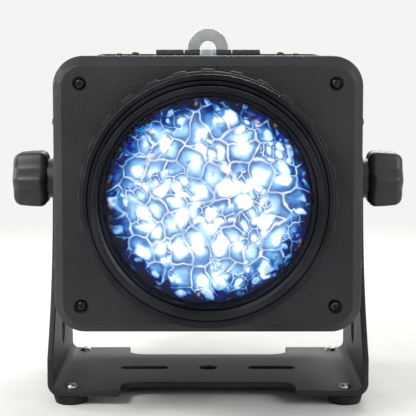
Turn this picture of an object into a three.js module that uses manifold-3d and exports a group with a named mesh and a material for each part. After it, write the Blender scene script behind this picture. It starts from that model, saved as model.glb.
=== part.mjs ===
// Water-wave effect projector: a black box-shaped lamp head with a large projection lens, carried
// between the legs of a wide floor yoke. Inside, a light engine shines through a gate and two
// counter-rotating discs of rippled glass, and the lens throws their image.
// Millimetres. +X is to the right seen from the front, -Y is the front, +Z is up.
import * as THREE from "three";
import { mergeVertices } from "three/addons/utils/BufferGeometryUtils.js";
import Module from "manifold-3d";

const wasm = await Module();
wasm.setup();

// Driving dimensions
const LENS_RADIUS = 66.5;
const GATE_RADIUS = 17;
const GEAR_MODULE = 2.5;
const PINION_TEETH = 8;
const FAN_SIZE = 80;
const BODY_CORNER = 16;
const SHEET = 2;
const YOKE_SHEET = 4;
const YOKE_DEPTH = 150;
const FOCUS_TRAVEL = 16;

// Clearances and cutting allowances
const SEAT_GAP = 0.3;
const RUN_GAP = 0.6;
const SWING_GAP = 3.7;
const OVERRUN = 1;
const MERGE_DISTANCE = 0.001;

// Facets of round stretches
const BARREL_STEPS = 32;
const DISC_STEPS = 24;
const ROD_STEPS = 16;
const PIN_STEPS = 12;
const FINE_PIN_STEPS = 8;
const CORNER_STEPS = 4;
const SMALL_CORNER_STEPS = 3;
const LENS_ARC_STEPS = 5;
const SMALL_LENS_ARC_STEPS = 3;

// Lens barrel
const LENS_EDGE = 6;
const LENS_SAG = 14;
const LENS_RECESS = 3;
const TUBE_WALL = 3.5;
const TUBE_LIP = 4;
const TUBE_LENGTH = 118;
const GUIDE_SPARE = 2;
const TUBE_PROUD = 12;
const TUBE_AIR = 39;
const RETAINER_LENGTH = 6;
const RETAINER_WIDTH = 2.1;
const RETAINER_SEAT = 1.2;
const REAR_LENS_RADIUS = 44;
const REAR_LENS_EDGE = 5;
const REAR_LENS_SAG = 9;
const REAR_LENS_INSET = 10;
const BAFFLE_RADIUS = 60;
const BAFFLE_SETBACK = 40;
const BAFFLE_SHEET = 2;
const COLLAR_WALL = 2.5;
const COLLAR_FLANGE = 4;
const COLLAR_INSERT = 8;
const RING_WALL = 4.8;
const RING_RIB = 1.5;
const RING_LENGTH = 26.6;
const RING_RIBS = 28;
const RING_BAND = 6;
const STOP_LENGTH = 2.5;
const STOP_INSET = 1.4;

// Housing
const BEZEL_WALL = 3;
const BEZEL_FACE = 4;
const BEZEL_CHAMFER = 6;
const BEZEL_DEPTH = 24;
const BEZEL_MARGIN = 2.3;
const REAR_BEZEL_DEPTH = 26;
const REAR_CHAMFER = 14;
const REAR_LIP = 3;
const REAR_LIP_WIDTH = 4.3;
const PANEL_OVERLAP = 2.5;
const BOSS_REACH = 8;
const BOSS_RADIUS = 20;
const BOSS_FLARE = 6;
const VENT_WIDTH = 3;
const SIDE_VENTS = 5;
const SIDE_VENT_LENGTH = 40;
const SIDE_VENT_PITCH = 7.5;
const SIDE_VENT_DROP = 8;
const TOP_VENTS = 11;
const TOP_VENT_LENGTH = 24;
const TOP_VENT_PITCH = 9;
const FLOOR_VENTS = 6;
const FLOOR_VENT_LENGTH = 28;
const FLOOR_VENT_INSET = 22;
const FLOOR_VENT_PITCH = 9;

// Access door in the top cover
const ACCESS_WIDTH = 92;
const ACCESS_DEPTH = 54;
const ACCESS_CORNER = 4;
const DOOR_SHEET = 1.8;
const DOOR_OVERLAP = 5;
const DOOR_TONGUE = 9;
const KNUCKLE_RADIUS = 3.2;
const KNUCKLE_LENGTH = 20;
const DOOR_KNUCKLE_LENGTH = 34;
const HINGE_PIN_RADIUS = 1.5;
const HINGE_PIN_PROUD = 1;
const HINGE_PIN_BORE = 1.9;
const LATCH_HEAD_RADIUS = 5.5;
const LATCH_HEAD_HEIGHT = 5;
const LATCH_SHANK_RADIUS = 2;
const LATCH_SHANK_REACH = 3;
const LATCH_HOLE_RADIUS = 3.2;
const LATCH_SLOT_WIDTH = 1.4;
const LATCH_SLOT_DEPTH = 1.8;

// Effect module: plate, rippled glass, toothed rims, hubs, motors and pinions
const MODULE_SHEET = 2;
const MODULE_FLANGE = 14;
const MODULE_SIDE_ROOM = 3.2;
const MODULE_FRONT = 12;
const WHEEL_AIR = 2;
const WHEEL_THICKNESS = 6;
const GLASS_THICKNESS = 3.4;
const GLASS_RIPPLE = 0.5;
const GLASS_RINGS = 3;
const RIPPLE_LOBES = 5;
const RIPPLE_TURNS = 3;
const RIM_WALL = 1.3;
const HUB_RADIUS = 8;
const HUB_FLANGE_RADIUS = 11;
const HUB_FLANGE = 1.1;
const AXLE_RADIUS = 2.5;
const AXLE_PROUD = 1.4;
const MOTOR_RADIUS = 17.5;
const MOTOR_LENGTH = 21;
const MOTOR_BOSS_RADIUS = 5;
const MOTOR_BOSS = 1.5;
const SHAFT_RADIUS = 1.5;
const SHAFT_DEPTH = 5;

// Light engine
const GATE_AIR = 4;
const GATE_WALL = 2;
const CONDENSER_LENGTH = 35.7;
const CONDENSER_RADIUS = 30;
const CONDENSER_WALL = 3;
const CONDENSER_FLANGE = 3;
const CONDENSER_FLANGE_RADIUS = 40;
const CONDENSER_EDGE = 2.5;
const CONDENSER_SAG = 8;
const CONDENSER_AIR = 2;
const AIR_SLOT_WIDTH = 15;
const AIR_SLOT_HEIGHT = 56;
const AIR_SLOT_EDGE = 16;
const LED_BOARD_SIZE = 44;
const LED_BOARD = 1.6;
const LED_EMITTER_RADIUS = 11;
const LED_EMITTER = 1.2;
const SINK_SIZE = 100;
const SINK_BASE = 6;
const SINK_FIN_DEPTH = 30;
const SINK_FIN = 1.8;
const SINK_FINS = 15;
const FAN_STANDOFF = 5.1;
const FAN_DEPTH = 25;
const FAN_CORNER = 5;
const FAN_WALL = 2;
const FAN_HUB_RADIUS = 15.5;
const FAN_BLADES = 7;
const FAN_BLADE = 1.6;
const FAN_BLADE_DEPTH = 13;
const FAN_BLADE_ROOT = 14;
const FAN_PITCHES = [54, 43, 32];
const FAN_SPIDER = 3.5;
const FAN_SPIDER_ARM = 5;
const GUARD_RINGS = 3;
const GUARD_WIRE = 2;
const GUARD_BAR = 4;
const GUARD_STEPS = 16;

// Rear panel and what it carries
const PANEL_EDGE = 3;
const PANEL_SPACING = 3;
const DISPLAY_WIDTH = 56;
const DISPLAY_HEIGHT = 24;
const BUTTON_DROP = 13;
const BUTTON_PITCH = 14;
const BUTTONS = 4;
const BUTTON_RADIUS = 4.6;
const BUTTON_FLANGE_RADIUS = 6.2;
const BUTTON_FLANGE = 1.2;
const BUTTON_PROUD = 2.4;
const BUTTON_STEM_RADIUS = 1.6;
const BUTTON_TRAVEL = 0.8;
const BUTTON_AIR = 0.1;
const SWITCH_SIZE = 6;
const SWITCH_HEIGHT = 3.1;
const BOARD_SHEET = 1.6;
const BOARD_STANDOFF = 6.3;
const BOARD_EDGE = 5;
const BOARD_RISE = 7.5;
const BOARD_DROP = 14.5;
const STANDOFF_RADIUS = 2.5;
const SOCKET_FLANGE = 1.8;
const DATA_PITCH = 32;
const DATA_EDGE = 6;
const DATA_WIDTH = 26;
const DATA_HEIGHT = 31;
const SOCKET_CORNER = 3;
const DATA_BARREL_RADIUS = 11.7;
const DATA_BARREL_LENGTH = 22;
const DATA_CAVITY_RADIUS = 8.2;
const DATA_CAVITY_DEPTH = 15;
const DATA_PIN_RADIUS = 1.2;
const DATA_PIN_CIRCLE = 4;
const DATA_PIN_LENGTH = 12;
const DATA_CORE_RADIUS = 7;
const LATCH_TAB_WIDTH = 7;
const LATCH_TAB_HEIGHT = 3;
const LATCH_TAB_LENGTH = 8;
const LATCH_TAB_PROUD = 1;
const LATCH_TAB_TRAVEL = 1;
const POWER_EDGE = 10;
const POWER_WIDTH = 52;
const POWER_HEIGHT = 30;
const POWER_BODY_WIDTH = 48;
const POWER_BODY_HEIGHT = 26;
const POWER_BODY_DEPTH = 24;
const INLET_SHIFT = -11;
const INLET_WIDTH = 22;
const INLET_HEIGHT = 15;
const INLET_CHAMFER = 4;
const INLET_DEPTH = 16;
const INLET_PIN_WIDTH = 2;
const INLET_PIN_HEIGHT = 4;
const INLET_PIN_SPREAD = 7;
const INLET_PIN_RAISE = 2;
const INLET_PIN_SETBACK = 4;
const FUSE_SHIFT = 4.5;
const FUSE_WIDTH = 5;
const FUSE_HEIGHT = 17;
const FUSE_DEPTH = 20;
const FUSE_LIP = 1;
const ROCKER_SHIFT = 15.5;
const ROCKER_WIDTH = 10;
const ROCKER_HEIGHT = 19;
const ROCKER_ROOM = 1;
const ROCKER_DEPTH = 9;
const ROCKER_BODY = 5;
const ROCKER_PEAK = 0.9;
const ROCKER_NECK = 1.9;
const ROCKER_TILT = 8;

// Boards, power supply and the safety eye
const SUPPLY_WIDTH = 104;
const SUPPLY_LENGTH = 92;
const SUPPLY_HEIGHT = 20;
const SUPPLY_CORNER = 3;
const TERMINAL_WIDTH = 40;
const TERMINAL_LENGTH = 10;
const TERMINAL_HEIGHT = 12;
const DRIVER_LENGTH = 70;
const DRIVER_HEIGHT = 52;
const DRIVER_AHEAD = 20;
const DRIVER_TOP = 16;
const DRIVER_PART = 7;
const SUPPLY_AIR = 2;
const SUPPLY_HEADROOM = 1.6;
const EYE_SHEET = 3;
const EYE_FOOT = 12;
const EYE_WIDTH = 30;
const EYE_HEIGHT = 22;
const EYE_HOLE_RADIUS = 6;
const EYE_BEHIND = 6;

// Yoke, feet and lock knobs
const YOKE_BEND = 9;
const YOKE_END_RADIUS = 27;
const YOKE_SKIRT = 26;
const YOKE_NECK = 62;
const YOKE_WINDOW_WIDTH = 20;
const YOKE_WINDOW_LENGTH = 48;
const YOKE_WINDOW_RISE = 22;
const RELIEF_WIDTH = 120;
const RELIEF_DEPTH = 27;
const RELIEF_CORNER = 13;
const CLAMP_HOLE_RADIUS = 6.5;
const CLAMP_SLOT_WIDTH = 9;
const CLAMP_SLOT_LENGTH = 34;
const CLAMP_SLOT_SPREAD = 46;
const FOOT_RADIUS = 12;
const FOOT_TAPER = 1.5;
const FOOT_HEIGHT = 6;
const FOOT_INSET = 3;
const LEG_SWEEP_STEPS = 6;
const WASHER_RADIUS = 19;
const WASHER_THICKNESS = 1.4;
const STUD_RADIUS = 5;
const STUD_HOLE_RADIUS = 5.6;
const KNOB_RADIUS = 22;
const KNOB_LOBE = 2.2;
const KNOB_LOBES = 6;
const KNOB_STEPS = 24;
const KNOB_DISH_RADIUS = 10;
const KNOB_DISH = 1;
const KNOB_LENGTH = 24;
const KNOB_COLLAR_RADIUS = 14;
const KNOB_COLLAR = 5;

// Stations across the lens barrel, worked outwards from the lens
const TUBE_BORE = LENS_RADIUS + SEAT_GAP;
const TUBE_OUTER = TUBE_BORE + TUBE_WALL;
const COLLAR_BORE = TUBE_OUTER + RUN_GAP;
const COLLAR_OUTER = COLLAR_BORE + COLLAR_WALL;
const RING_BORE = COLLAR_OUTER + RUN_GAP;
const RING_OUTER = RING_BORE + RING_WALL;

// Stations of the effect module
const ADDENDUM_SHARE = 0.85;
const DEDENDUM_SHARE = 1.2;
const GEAR_ADDENDUM = GEAR_MODULE * ADDENDUM_SHARE;
const GEAR_DEDENDUM = GEAR_MODULE * DEDENDUM_SHARE;
const WHEEL_OFFSET = HUB_FLANGE_RADIUS + RUN_GAP + GATE_RADIUS;
const LEAST_PITCH_RADIUS = WHEEL_OFFSET + GATE_RADIUS + SEAT_GAP + RIM_WALL + GEAR_DEDENDUM;
const WHEEL_TEETH = Math.ceil((2 * LEAST_PITCH_RADIUS) / GEAR_MODULE);
const WHEEL_PITCH_RADIUS = (GEAR_MODULE * WHEEL_TEETH) / 2;
const PINION_PITCH_RADIUS = (GEAR_MODULE * PINION_TEETH) / 2;
const RIM_BORE = WHEEL_PITCH_RADIUS - GEAR_DEDENDUM - RIM_WALL;
const GLASS_RADIUS = RIM_BORE - SEAT_GAP;
const GEAR_DISTANCE = WHEEL_PITCH_RADIUS + PINION_PITCH_RADIUS;
const PINION_ANGLE = Math.PI * 1.25;
const MOTOR_X = WHEEL_OFFSET - GEAR_DISTANCE * Math.cos(PINION_ANGLE);
const MOTOR_Z = GEAR_DISTANCE * Math.sin(PINION_ANGLE);

// Housing section, set by the largest of the barrel, the motors and the rear panel's layout
const BEZEL_STEP = SEAT_GAP + BEZEL_WALL;
const OPENING_INSET = REAR_CHAMFER + REAR_LIP_WIDTH;
const BOARD_WIDTH = DISPLAY_WIDTH + 2 * BOARD_EDGE;
const BARREL_NEED = RING_OUTER + BEZEL_MARGIN + BEZEL_CHAMFER;
const SUPPLY_NEED =
  MOTOR_RADIUS - MOTOR_Z + SUPPLY_HEADROOM + SUPPLY_HEIGHT + SEAT_GAP + SHEET + BEZEL_STEP;
const COLUMN_NEED = (FAN_SIZE + DATA_HEIGHT + 3 * PANEL_EDGE) / 2 + OPENING_INSET;
const BEZEL_HALF_HEIGHT = Math.max(BARREL_NEED, SUPPLY_NEED, COLUMN_NEED);
const HALF_HEIGHT = BEZEL_HALF_HEIGHT - BEZEL_STEP;
const MOTOR_NEED = MOTOR_X + MOTOR_RADIUS + MODULE_SIDE_ROOM + SHEET + BEZEL_STEP;
const ROW_NEED = (FAN_SIZE + BOARD_WIDTH + PANEL_SPACING + 2 * PANEL_EDGE) / 2 + OPENING_INSET;
const BEZEL_HALF_WIDTH = Math.max(MOTOR_NEED, ROW_NEED);
const HALF_WIDTH = BEZEL_HALF_WIDTH - BEZEL_STEP;
const BEZEL_CORNER = BODY_CORNER + BEZEL_STEP;
const PARTING_HEIGHT = BOSS_RADIUS + BOSS_FLARE + SHEET;

// Places on the rear panel, worked inwards from the edges of its opening
const OPENING_HALF_WIDTH = BEZEL_HALF_WIDTH - OPENING_INSET;
const OPENING_HALF_HEIGHT = BEZEL_HALF_HEIGHT - OPENING_INSET;
const COLUMN_AIR = (2 * OPENING_HALF_HEIGHT - FAN_SIZE - DATA_HEIGHT) / 3;
const FAN_X = -OPENING_HALF_WIDTH + PANEL_EDGE + FAN_SIZE / 2;
const FAN_Z = OPENING_HALF_HEIGHT - COLUMN_AIR - FAN_SIZE / 2;
const FAN_DUCT_RADIUS = FAN_SIZE / 2 - FAN_WALL;
const DISPLAY_X = OPENING_HALF_WIDTH - PANEL_EDGE - BOARD_WIDTH / 2;
const DISPLAY_Z = FAN_Z + (FAN_SIZE - DISPLAY_HEIGHT) / 2;
const BUTTON_Z = DISPLAY_Z - DISPLAY_HEIGHT / 2 - BUTTON_DROP;
const DATA_Z = -OPENING_HALF_HEIGHT + COLUMN_AIR + DATA_HEIGHT / 2;
const DATA_IN_X = -OPENING_HALF_WIDTH + DATA_EDGE + DATA_WIDTH / 2;
const DATA_OUT_X = DATA_IN_X + DATA_PITCH;
const POWER_X = OPENING_HALF_WIDTH - POWER_EDGE - POWER_WIDTH / 2;
const POWER_Z = DATA_Z;

// Stations along the optical axis, from the module plate backwards
const PLATE_FRONT = -MODULE_FRONT;
const PLATE_REAR = PLATE_FRONT + MODULE_SHEET;
const REAR_WHEEL_FRONT = PLATE_REAR + WHEEL_AIR;
const REAR_WHEEL_REAR = REAR_WHEEL_FRONT + WHEEL_THICKNESS;
const FRONT_WHEEL_REAR = PLATE_FRONT - WHEEL_AIR;
const FRONT_WHEEL_FRONT = FRONT_WHEEL_REAR - WHEEL_THICKNESS;
const GATE_FRONT = REAR_WHEEL_REAR + GATE_AIR;
const BULKHEAD_FRONT = GATE_FRONT + CONDENSER_LENGTH + SEAT_GAP;
const BULKHEAD_REAR = BULKHEAD_FRONT + SHEET;
const SINK_FRONT = BULKHEAD_REAR + SEAT_GAP;
const SINK_REAR = SINK_FRONT + SINK_BASE + SINK_FIN_DEPTH;
const FAN_FRONT = SINK_REAR + FAN_STANDOFF;
const FAN_REAR = FAN_FRONT + FAN_DEPTH;
const PANEL_FRONT = FAN_REAR + SEAT_GAP;
const PANEL_REAR = PANEL_FRONT + SHEET;
const LIP_FRONT = PANEL_REAR + SEAT_GAP;
const REAR_REACH = LIP_FRONT + REAR_LIP;
const SOCKET_FACE = PANEL_REAR + SEAT_GAP;

// Stations along the optical axis, from the lens tube's front backwards
const TUBE_REAR = FRONT_WHEEL_FRONT - TUBE_AIR;
const TUBE_FRONT = TUBE_REAR - TUBE_LENGTH;
const COLLAR_FRONT = TUBE_FRONT + TUBE_PROUD;
const STOP_FRONT = COLLAR_FRONT + STOP_INSET;
const STOP_REAR = STOP_FRONT + STOP_LENGTH;
const RING_FRONT = STOP_REAR + RUN_GAP;
const RING_REAR = RING_FRONT + RING_LENGTH;
const FLANGE_FRONT = RING_REAR + RUN_GAP;
const FLANGE_REAR = FLANGE_FRONT + COLLAR_FLANGE;
const FACE_FRONT = FLANGE_REAR + SEAT_GAP;
const FACE_REAR = FACE_FRONT + BEZEL_FACE;
const SHELL_FRONT = FACE_REAR + SEAT_GAP;
const REAR_BEZEL_FRONT = REAR_REACH - REAR_BEZEL_DEPTH;
const REAR_BEZEL_STRAIGHT = REAR_REACH - REAR_CHAMFER;
const SHELL_REAR = REAR_BEZEL_STRAIGHT + SEAT_GAP;
const LENS_APEX = TUBE_FRONT + LENS_RECESS;
const LENS_EDGE_FRONT = LENS_APEX + LENS_SAG;
const LENS_BACK = LENS_EDGE_FRONT + LENS_EDGE;

// Yoke stations: the base plate clears the rear of the head as it swings past
const BOSS_FACE = HALF_WIDTH + BOSS_REACH;
const YOKE_INNER = BOSS_FACE + SEAT_GAP + WASHER_THICKNESS + SEAT_GAP;
const YOKE_OUTER = YOKE_INNER + YOKE_SHEET;
const REAR_SWING = Math.max(
  Math.hypot(REAR_BEZEL_STRAIGHT, BEZEL_HALF_HEIGHT),
  Math.hypot(REAR_REACH, BEZEL_HALF_HEIGHT - REAR_CHAMFER),
);
const YOKE_DROP = REAR_SWING + SWING_GAP;
const YOKE_UNDERSIDE = YOKE_DROP + YOKE_SHEET;
const PIVOT_HEIGHT = YOKE_UNDERSIDE + SEAT_GAP + FOOT_HEIGHT;
const PIVOT_SHIFT = -(TUBE_FRONT + REAR_REACH) / 2;

// Outlines

function arcPoints(x, y, radius, from, to, steps) {
  const points = [];
  for (let i = 0; i <= steps; i++) {
    const angle = from + ((to - from) * i) / steps;
    points.push(new THREE.Vector2(x + radius * Math.cos(angle), y + radius * Math.sin(angle)));
  }
  return points;
}

function circlePoints(radius, steps, x = 0, y = 0, start = 0) {
  return arcPoints(x, y, radius, start, start + Math.PI * 2, steps).slice(0, steps);
}

function roundedRectangle(halfWidth, halfHeight, corner, steps = CORNER_STEPS, x = 0, y = 0) {
  const signs = [[1, 1], [-1, 1], [-1, -1], [1, -1]];
  return signs.flatMap(([sx, sy], i) =>
    arcPoints(
      x + sx * (halfWidth - corner),
      y + sy * (halfHeight - corner),
      corner,
      (i * Math.PI) / 2,
      ((i + 1) * Math.PI) / 2,
      steps,
    ),
  );
}

function rectangle(halfWidth, halfHeight, x = 0, y = 0) {
  return [
    new THREE.Vector2(x - halfWidth, y - halfHeight),
    new THREE.Vector2(x + halfWidth, y - halfHeight),
    new THREE.Vector2(x + halfWidth, y + halfHeight),
    new THREE.Vector2(x - halfWidth, y + halfHeight),
  ];
}

// A U-shaped section of bent sheet, open towards +y, between floor and rim.
function channelSection(halfWidth, floor, rim, wall, bend) {
  const inner = halfWidth - wall;
  const bendX = halfWidth - bend;
  const bendY = floor + bend;
  const turn = Math.PI / 2;
  return [
    new THREE.Vector2(-halfWidth, rim),
    ...arcPoints(-bendX, bendY, bend, 2 * turn, 3 * turn, CORNER_STEPS),
    ...arcPoints(bendX, bendY, bend, -turn, 0, CORNER_STEPS),
    new THREE.Vector2(halfWidth, rim),
    new THREE.Vector2(inner, rim),
    ...arcPoints(bendX, bendY, bend - wall, 0, -turn, CORNER_STEPS),
    ...arcPoints(-bendX, bendY, bend - wall, 3 * turn, 2 * turn, CORNER_STEPS),
    new THREE.Vector2(-inner, rim),
  ];
}

// A toothed outline with one tooth centred on the start angle.
function gearOutline(teeth, pitchRadius, start) {
  const pitchAngle = (2 * Math.PI) / teeth;
  const tip = pitchRadius + GEAR_ADDENDUM;
  const root = pitchRadius - GEAR_DEDENDUM;
  const tipShare = 0.1;
  const rootShare = 0.28;
  const tooth = [[root, -rootShare], [tip, -tipShare], [tip, tipShare], [root, rootShare]];
  const points = [];
  for (let i = 0; i < teeth; i++) {
    for (const [radius, share] of tooth) {
      const angle = start + (i + share) * pitchAngle;
      points.push(new THREE.Vector2(radius * Math.cos(angle), radius * Math.sin(angle)));
    }
  }
  return points;
}

// Solids

function extrude(points, start, depth) {
  return new THREE.ExtrudeGeometry(new THREE.Shape(points), { depth, bevelEnabled: false, steps: 1 })
    .translate(0, 0, start);
}

function plate(points, holes, thickness) {
  const cutters = holes.map((hole) => extrude(hole, -OVERRUN, thickness + 2 * OVERRUN));
  return geometryOf(cut(extrude(points, 0, thickness), ...cutters));
}

// Plates drawn in the plane square to X, Y or Z, from the given station onwards.
function plateX(points, holes, x, thickness) {
  const turned = new THREE.Matrix4().makeBasis(
    new THREE.Vector3(0, 1, 0),
    new THREE.Vector3(0, 0, 1),
    new THREE.Vector3(1, 0, 0),
  );
  return plate(points, holes, thickness).applyMatrix4(turned).translate(x, 0, 0);
}

function plateY(points, holes, y, thickness) {
  return plate(points, holes, thickness).rotateX(Math.PI / 2).translate(0, y + thickness, 0);
}

function plateZ(points, holes, z, thickness) {
  return plate(points, holes, thickness).translate(0, 0, z);
}

function block(x0, x1, y0, y1, z0, z1) {
  return new THREE.BoxGeometry(x1 - x0, y1 - y0, z1 - z0)
    .translate((x0 + x1) / 2, (y0 + y1) / 2, (z0 + z1) / 2);
}

function rodX(radius, x0, x1, y, z, steps = ROD_STEPS, endRadius = radius) {
  return new THREE.CylinderGeometry(endRadius, radius, x1 - x0, steps)
    .rotateZ(-Math.PI / 2)
    .translate((x0 + x1) / 2, y, z);
}

function rodY(radius, y0, y1, x, z, steps = ROD_STEPS, endRadius = radius) {
  return new THREE.CylinderGeometry(endRadius, radius, y1 - y0, steps).translate(x, (y0 + y1) / 2, z);
}

function rodZ(radius, z0, z1, x, y, steps = ROD_STEPS, endRadius = radius) {
  return new THREE.CylinderGeometry(endRadius, radius, z1 - z0, steps)
    .rotateX(Math.PI / 2)
    .translate(x, y, (z0 + z1) / 2);
}

// A ring or disc turned about the optical axis from its [radius, y] profile.
function turned(profile, steps = BARREL_STEPS) {
  const points = profile.map(([radius, y]) => new THREE.Vector2(radius, y));
  if (profile[0][0] !== 0) points.push(points[0].clone());
  return new THREE.LatheGeometry(points, steps);
}

function ring(inner, outer, y0, y1, steps = BARREL_STEPS) {
  return turned([[inner, y0], [outer, y0], [outer, y1], [inner, y1]], steps);
}

// A skin over equal rings of points, closed by a fan at each end.
function loft(rings) {
  const count = rings[0].length;
  const positions = rings.flatMap((points) => points.flatMap((p) => [p.x, p.y, p.z]));
  const faces = [];
  for (let level = 0; level + 1 < rings.length; level++) {
    for (let i = 0; i < count; i++) {
      const a = level * count + i;
      const b = level * count + ((i + 1) % count);
      faces.push(a, b, b + count, a, b + count, a + count);
    }
  }
  const last = (rings.length - 1) * count;
  for (let i = 1; i + 1 < count; i++) {
    faces.push(0, i + 1, i);
    faces.push(last, last + i, last + i + 1);
  }
  const geometry = new THREE.BufferGeometry();
  geometry.setAttribute("position", new THREE.Float32BufferAttribute(positions, 3));
  geometry.setIndex(faces);
  return geometry;
}

// A loft along Y through outlines drawn in the plane of X and Z.
function loftY(sections) {
  return loft(sections.map(([y, points]) => points.map((p) => new THREE.Vector3(p.x, y, p.y))));
}

// A three.js geometry as a closed solid, with its faces turned outwards.
function solid(shape) {
  if (!shape.isBufferGeometry) return shape;
  const loose = shape.index ? shape.toNonIndexed() : shape;
  const bare = new THREE.BufferGeometry();
  bare.setAttribute("position", loose.getAttribute("position"));
  const merged = mergeVertices(bare, MERGE_DISTANCE);
  const index = merged.index.array;
  const faces = [];
  for (let i = 0; i < index.length; i += 3) {
    const [a, b, c] = index.slice(i, i + 3);
    if (a !== b && b !== c && c !== a) faces.push([a, b, c]);
  }
  const build = (triangles) =>
    new wasm.Manifold(
      new wasm.Mesh({
        numProp: 3,
        vertProperties: merged.getAttribute("position").array,
        triVerts: new Uint32Array(triangles.flat()),
      }),
    );
  const made = build(faces);
  return made.volume() < 0 ? build(faces.map(([a, b, c]) => [a, c, b])) : made;
}

function join(first, ...others) {
  return others.reduce((whole, other) => whole.add(solid(other)), solid(first));
}

function cut(first, ...others) {
  return others.reduce((whole, other) => whole.subtract(solid(other)), solid(first));
}

function common(first, second) {
  return solid(first).intersect(solid(second));
}

function geometryOf(shape) {
  const mesh = solid(shape).getMesh();
  const positions = new Float32Array(mesh.numVert * 3);
  for (let i = 0; i < mesh.numVert; i++) {
    const first = i * mesh.numProp;
    positions.set(mesh.vertProperties.subarray(first, first + 3), i * 3);
  }
  const indexed = new THREE.BufferGeometry();
  indexed.setAttribute("position", new THREE.BufferAttribute(positions, 3));
  indexed.setIndex(new THREE.BufferAttribute(mesh.triVerts, 1));
  const faceted = indexed.toNonIndexed();
  faceted.computeVertexNormals();
  return faceted;
}

// Materials

function material(color, roughness, metalness, extra = {}) {
  return new THREE.MeshStandardMaterial({ color, roughness, metalness, ...extra });
}

const powderCoat = material(0x17181a, 0.62, 0.1);
const castPaint = material(0x1b1c1f, 0.5, 0.15);
const yokePaint = material(0x141517, 0.58, 0.1);
const blackAnodised = material(0x1d1f23, 0.38, 0.85);
const millAluminium = material(0xb9bcc0, 0.35, 0.95);
const zincSteel = material(0xa9adb2, 0.32, 0.95);
const blackPlastic = material(0x1a1a1b, 0.55, 0);
const buttonPlastic = material(0x3a3c40, 0.5, 0);
const acetal = material(0xe6e4dc, 0.45, 0);
const softRubber = material(0x151515, 0.9, 0);
const crownGlass = material(0xe4efff, 0.04, 0, { transparent: true, opacity: 0.35 });
const rippledGlass = material(0xd4e6ff, 0.08, 0, { transparent: true, opacity: 0.45 });
const displayAcrylic = material(0x0b1530, 0.12, 0);
const circuitBoard = material(0x1c5a35, 0.55, 0);

// Everything is drawn about the tilt axis where it crosses the optical axis.
const projector = new THREE.Group();
const aboutPivot = new THREE.Group();
projector.add(aboutPivot);
aboutPivot.position.set(0, PIVOT_SHIFT, PIVOT_HEIGHT);

function addPiece(name, shape, finish) {
  const mesh = new THREE.Mesh(geometryOf(shape), finish);
  mesh.name = name;
  aboutPivot.add(mesh);
}

// Yoke: one bent plate, whose legs taper from the wide base to a round end at the pivot

function legOutline() {
  const half = YOKE_DEPTH / 2;
  const skirt = -YOKE_UNDERSIDE + YOKE_SKIRT;
  const sweep = (side) =>
    new THREE.QuadraticBezierCurve(
      new THREE.Vector2(side * half, skirt),
      new THREE.Vector2(side * YOKE_END_RADIUS, -YOKE_NECK),
      new THREE.Vector2(side * YOKE_END_RADIUS, 0),
    ).getPoints(LEG_SWEEP_STEPS);
  return [
    new THREE.Vector2(half, -YOKE_UNDERSIDE - OVERRUN),
    ...sweep(1),
    ...arcPoints(0, 0, YOKE_END_RADIUS, 0, Math.PI, PIN_STEPS).slice(1, -1),
    ...sweep(-1).reverse(),
    new THREE.Vector2(-half, -YOKE_UNDERSIDE - OVERRUN),
  ];
}

function yokeBracket() {
  const half = YOKE_DEPTH / 2;
  const section = channelSection(
    YOKE_OUTER, -YOKE_UNDERSIDE, YOKE_END_RADIUS + OVERRUN, YOKE_SHEET, YOKE_BEND,
  );
  const span = YOKE_OUTER + OVERRUN;
  const window = roundedRectangle(
    YOKE_WINDOW_WIDTH / 2, YOKE_WINDOW_LENGTH / 2, YOKE_WINDOW_WIDTH / 2, SMALL_CORNER_STEPS,
    0, -YOKE_UNDERSIDE + YOKE_WINDOW_RISE + YOKE_WINDOW_LENGTH / 2,
  );
  const blank = common(
    plateY(section, [], -half, YOKE_DEPTH),
    plateX(legOutline(), [window], -span, 2 * span),
  );
  const floorCut = (points) => plateZ(points, [], -YOKE_UNDERSIDE - OVERRUN, YOKE_SHEET + 2 * OVERRUN);
  const reliefs = [1, -1].map((side) =>
    floorCut(roundedRectangle(
      RELIEF_WIDTH / 2, RELIEF_DEPTH, RELIEF_CORNER, CORNER_STEPS, 0, side * half,
    )),
  );
  const slots = [1, -1].map((side) =>
    floorCut(roundedRectangle(
      CLAMP_SLOT_LENGTH / 2, CLAMP_SLOT_WIDTH / 2, CLAMP_SLOT_WIDTH / 2, SMALL_CORNER_STEPS,
      side * CLAMP_SLOT_SPREAD, 0,
    )),
  );
  const clampHole = floorCut(circlePoints(CLAMP_HOLE_RADIUS, ROD_STEPS));
  const studHoles = rodX(STUD_HOLE_RADIUS, -span, span, 0, 0);
  return cut(blank, ...reliefs, ...slots, clampHole, studHoles);
}

function foot(x, y) {
  const top = -YOKE_UNDERSIDE - SEAT_GAP;
  return rodZ(FOOT_RADIUS - FOOT_TAPER, top - FOOT_HEIGHT, top, x, y, ROD_STEPS, FOOT_RADIUS);
}

function frictionWasher(side) {
  const near = BOSS_FACE + SEAT_GAP;
  const x0 = side > 0 ? near : -near - WASHER_THICKNESS;
  return cut(
    rodX(WASHER_RADIUS, x0, x0 + WASHER_THICKNESS, 0, 0),
    rodX(STUD_HOLE_RADIUS, x0 - OVERRUN, x0 + WASHER_THICKNESS + OVERRUN, 0, 0),
  );
}

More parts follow.
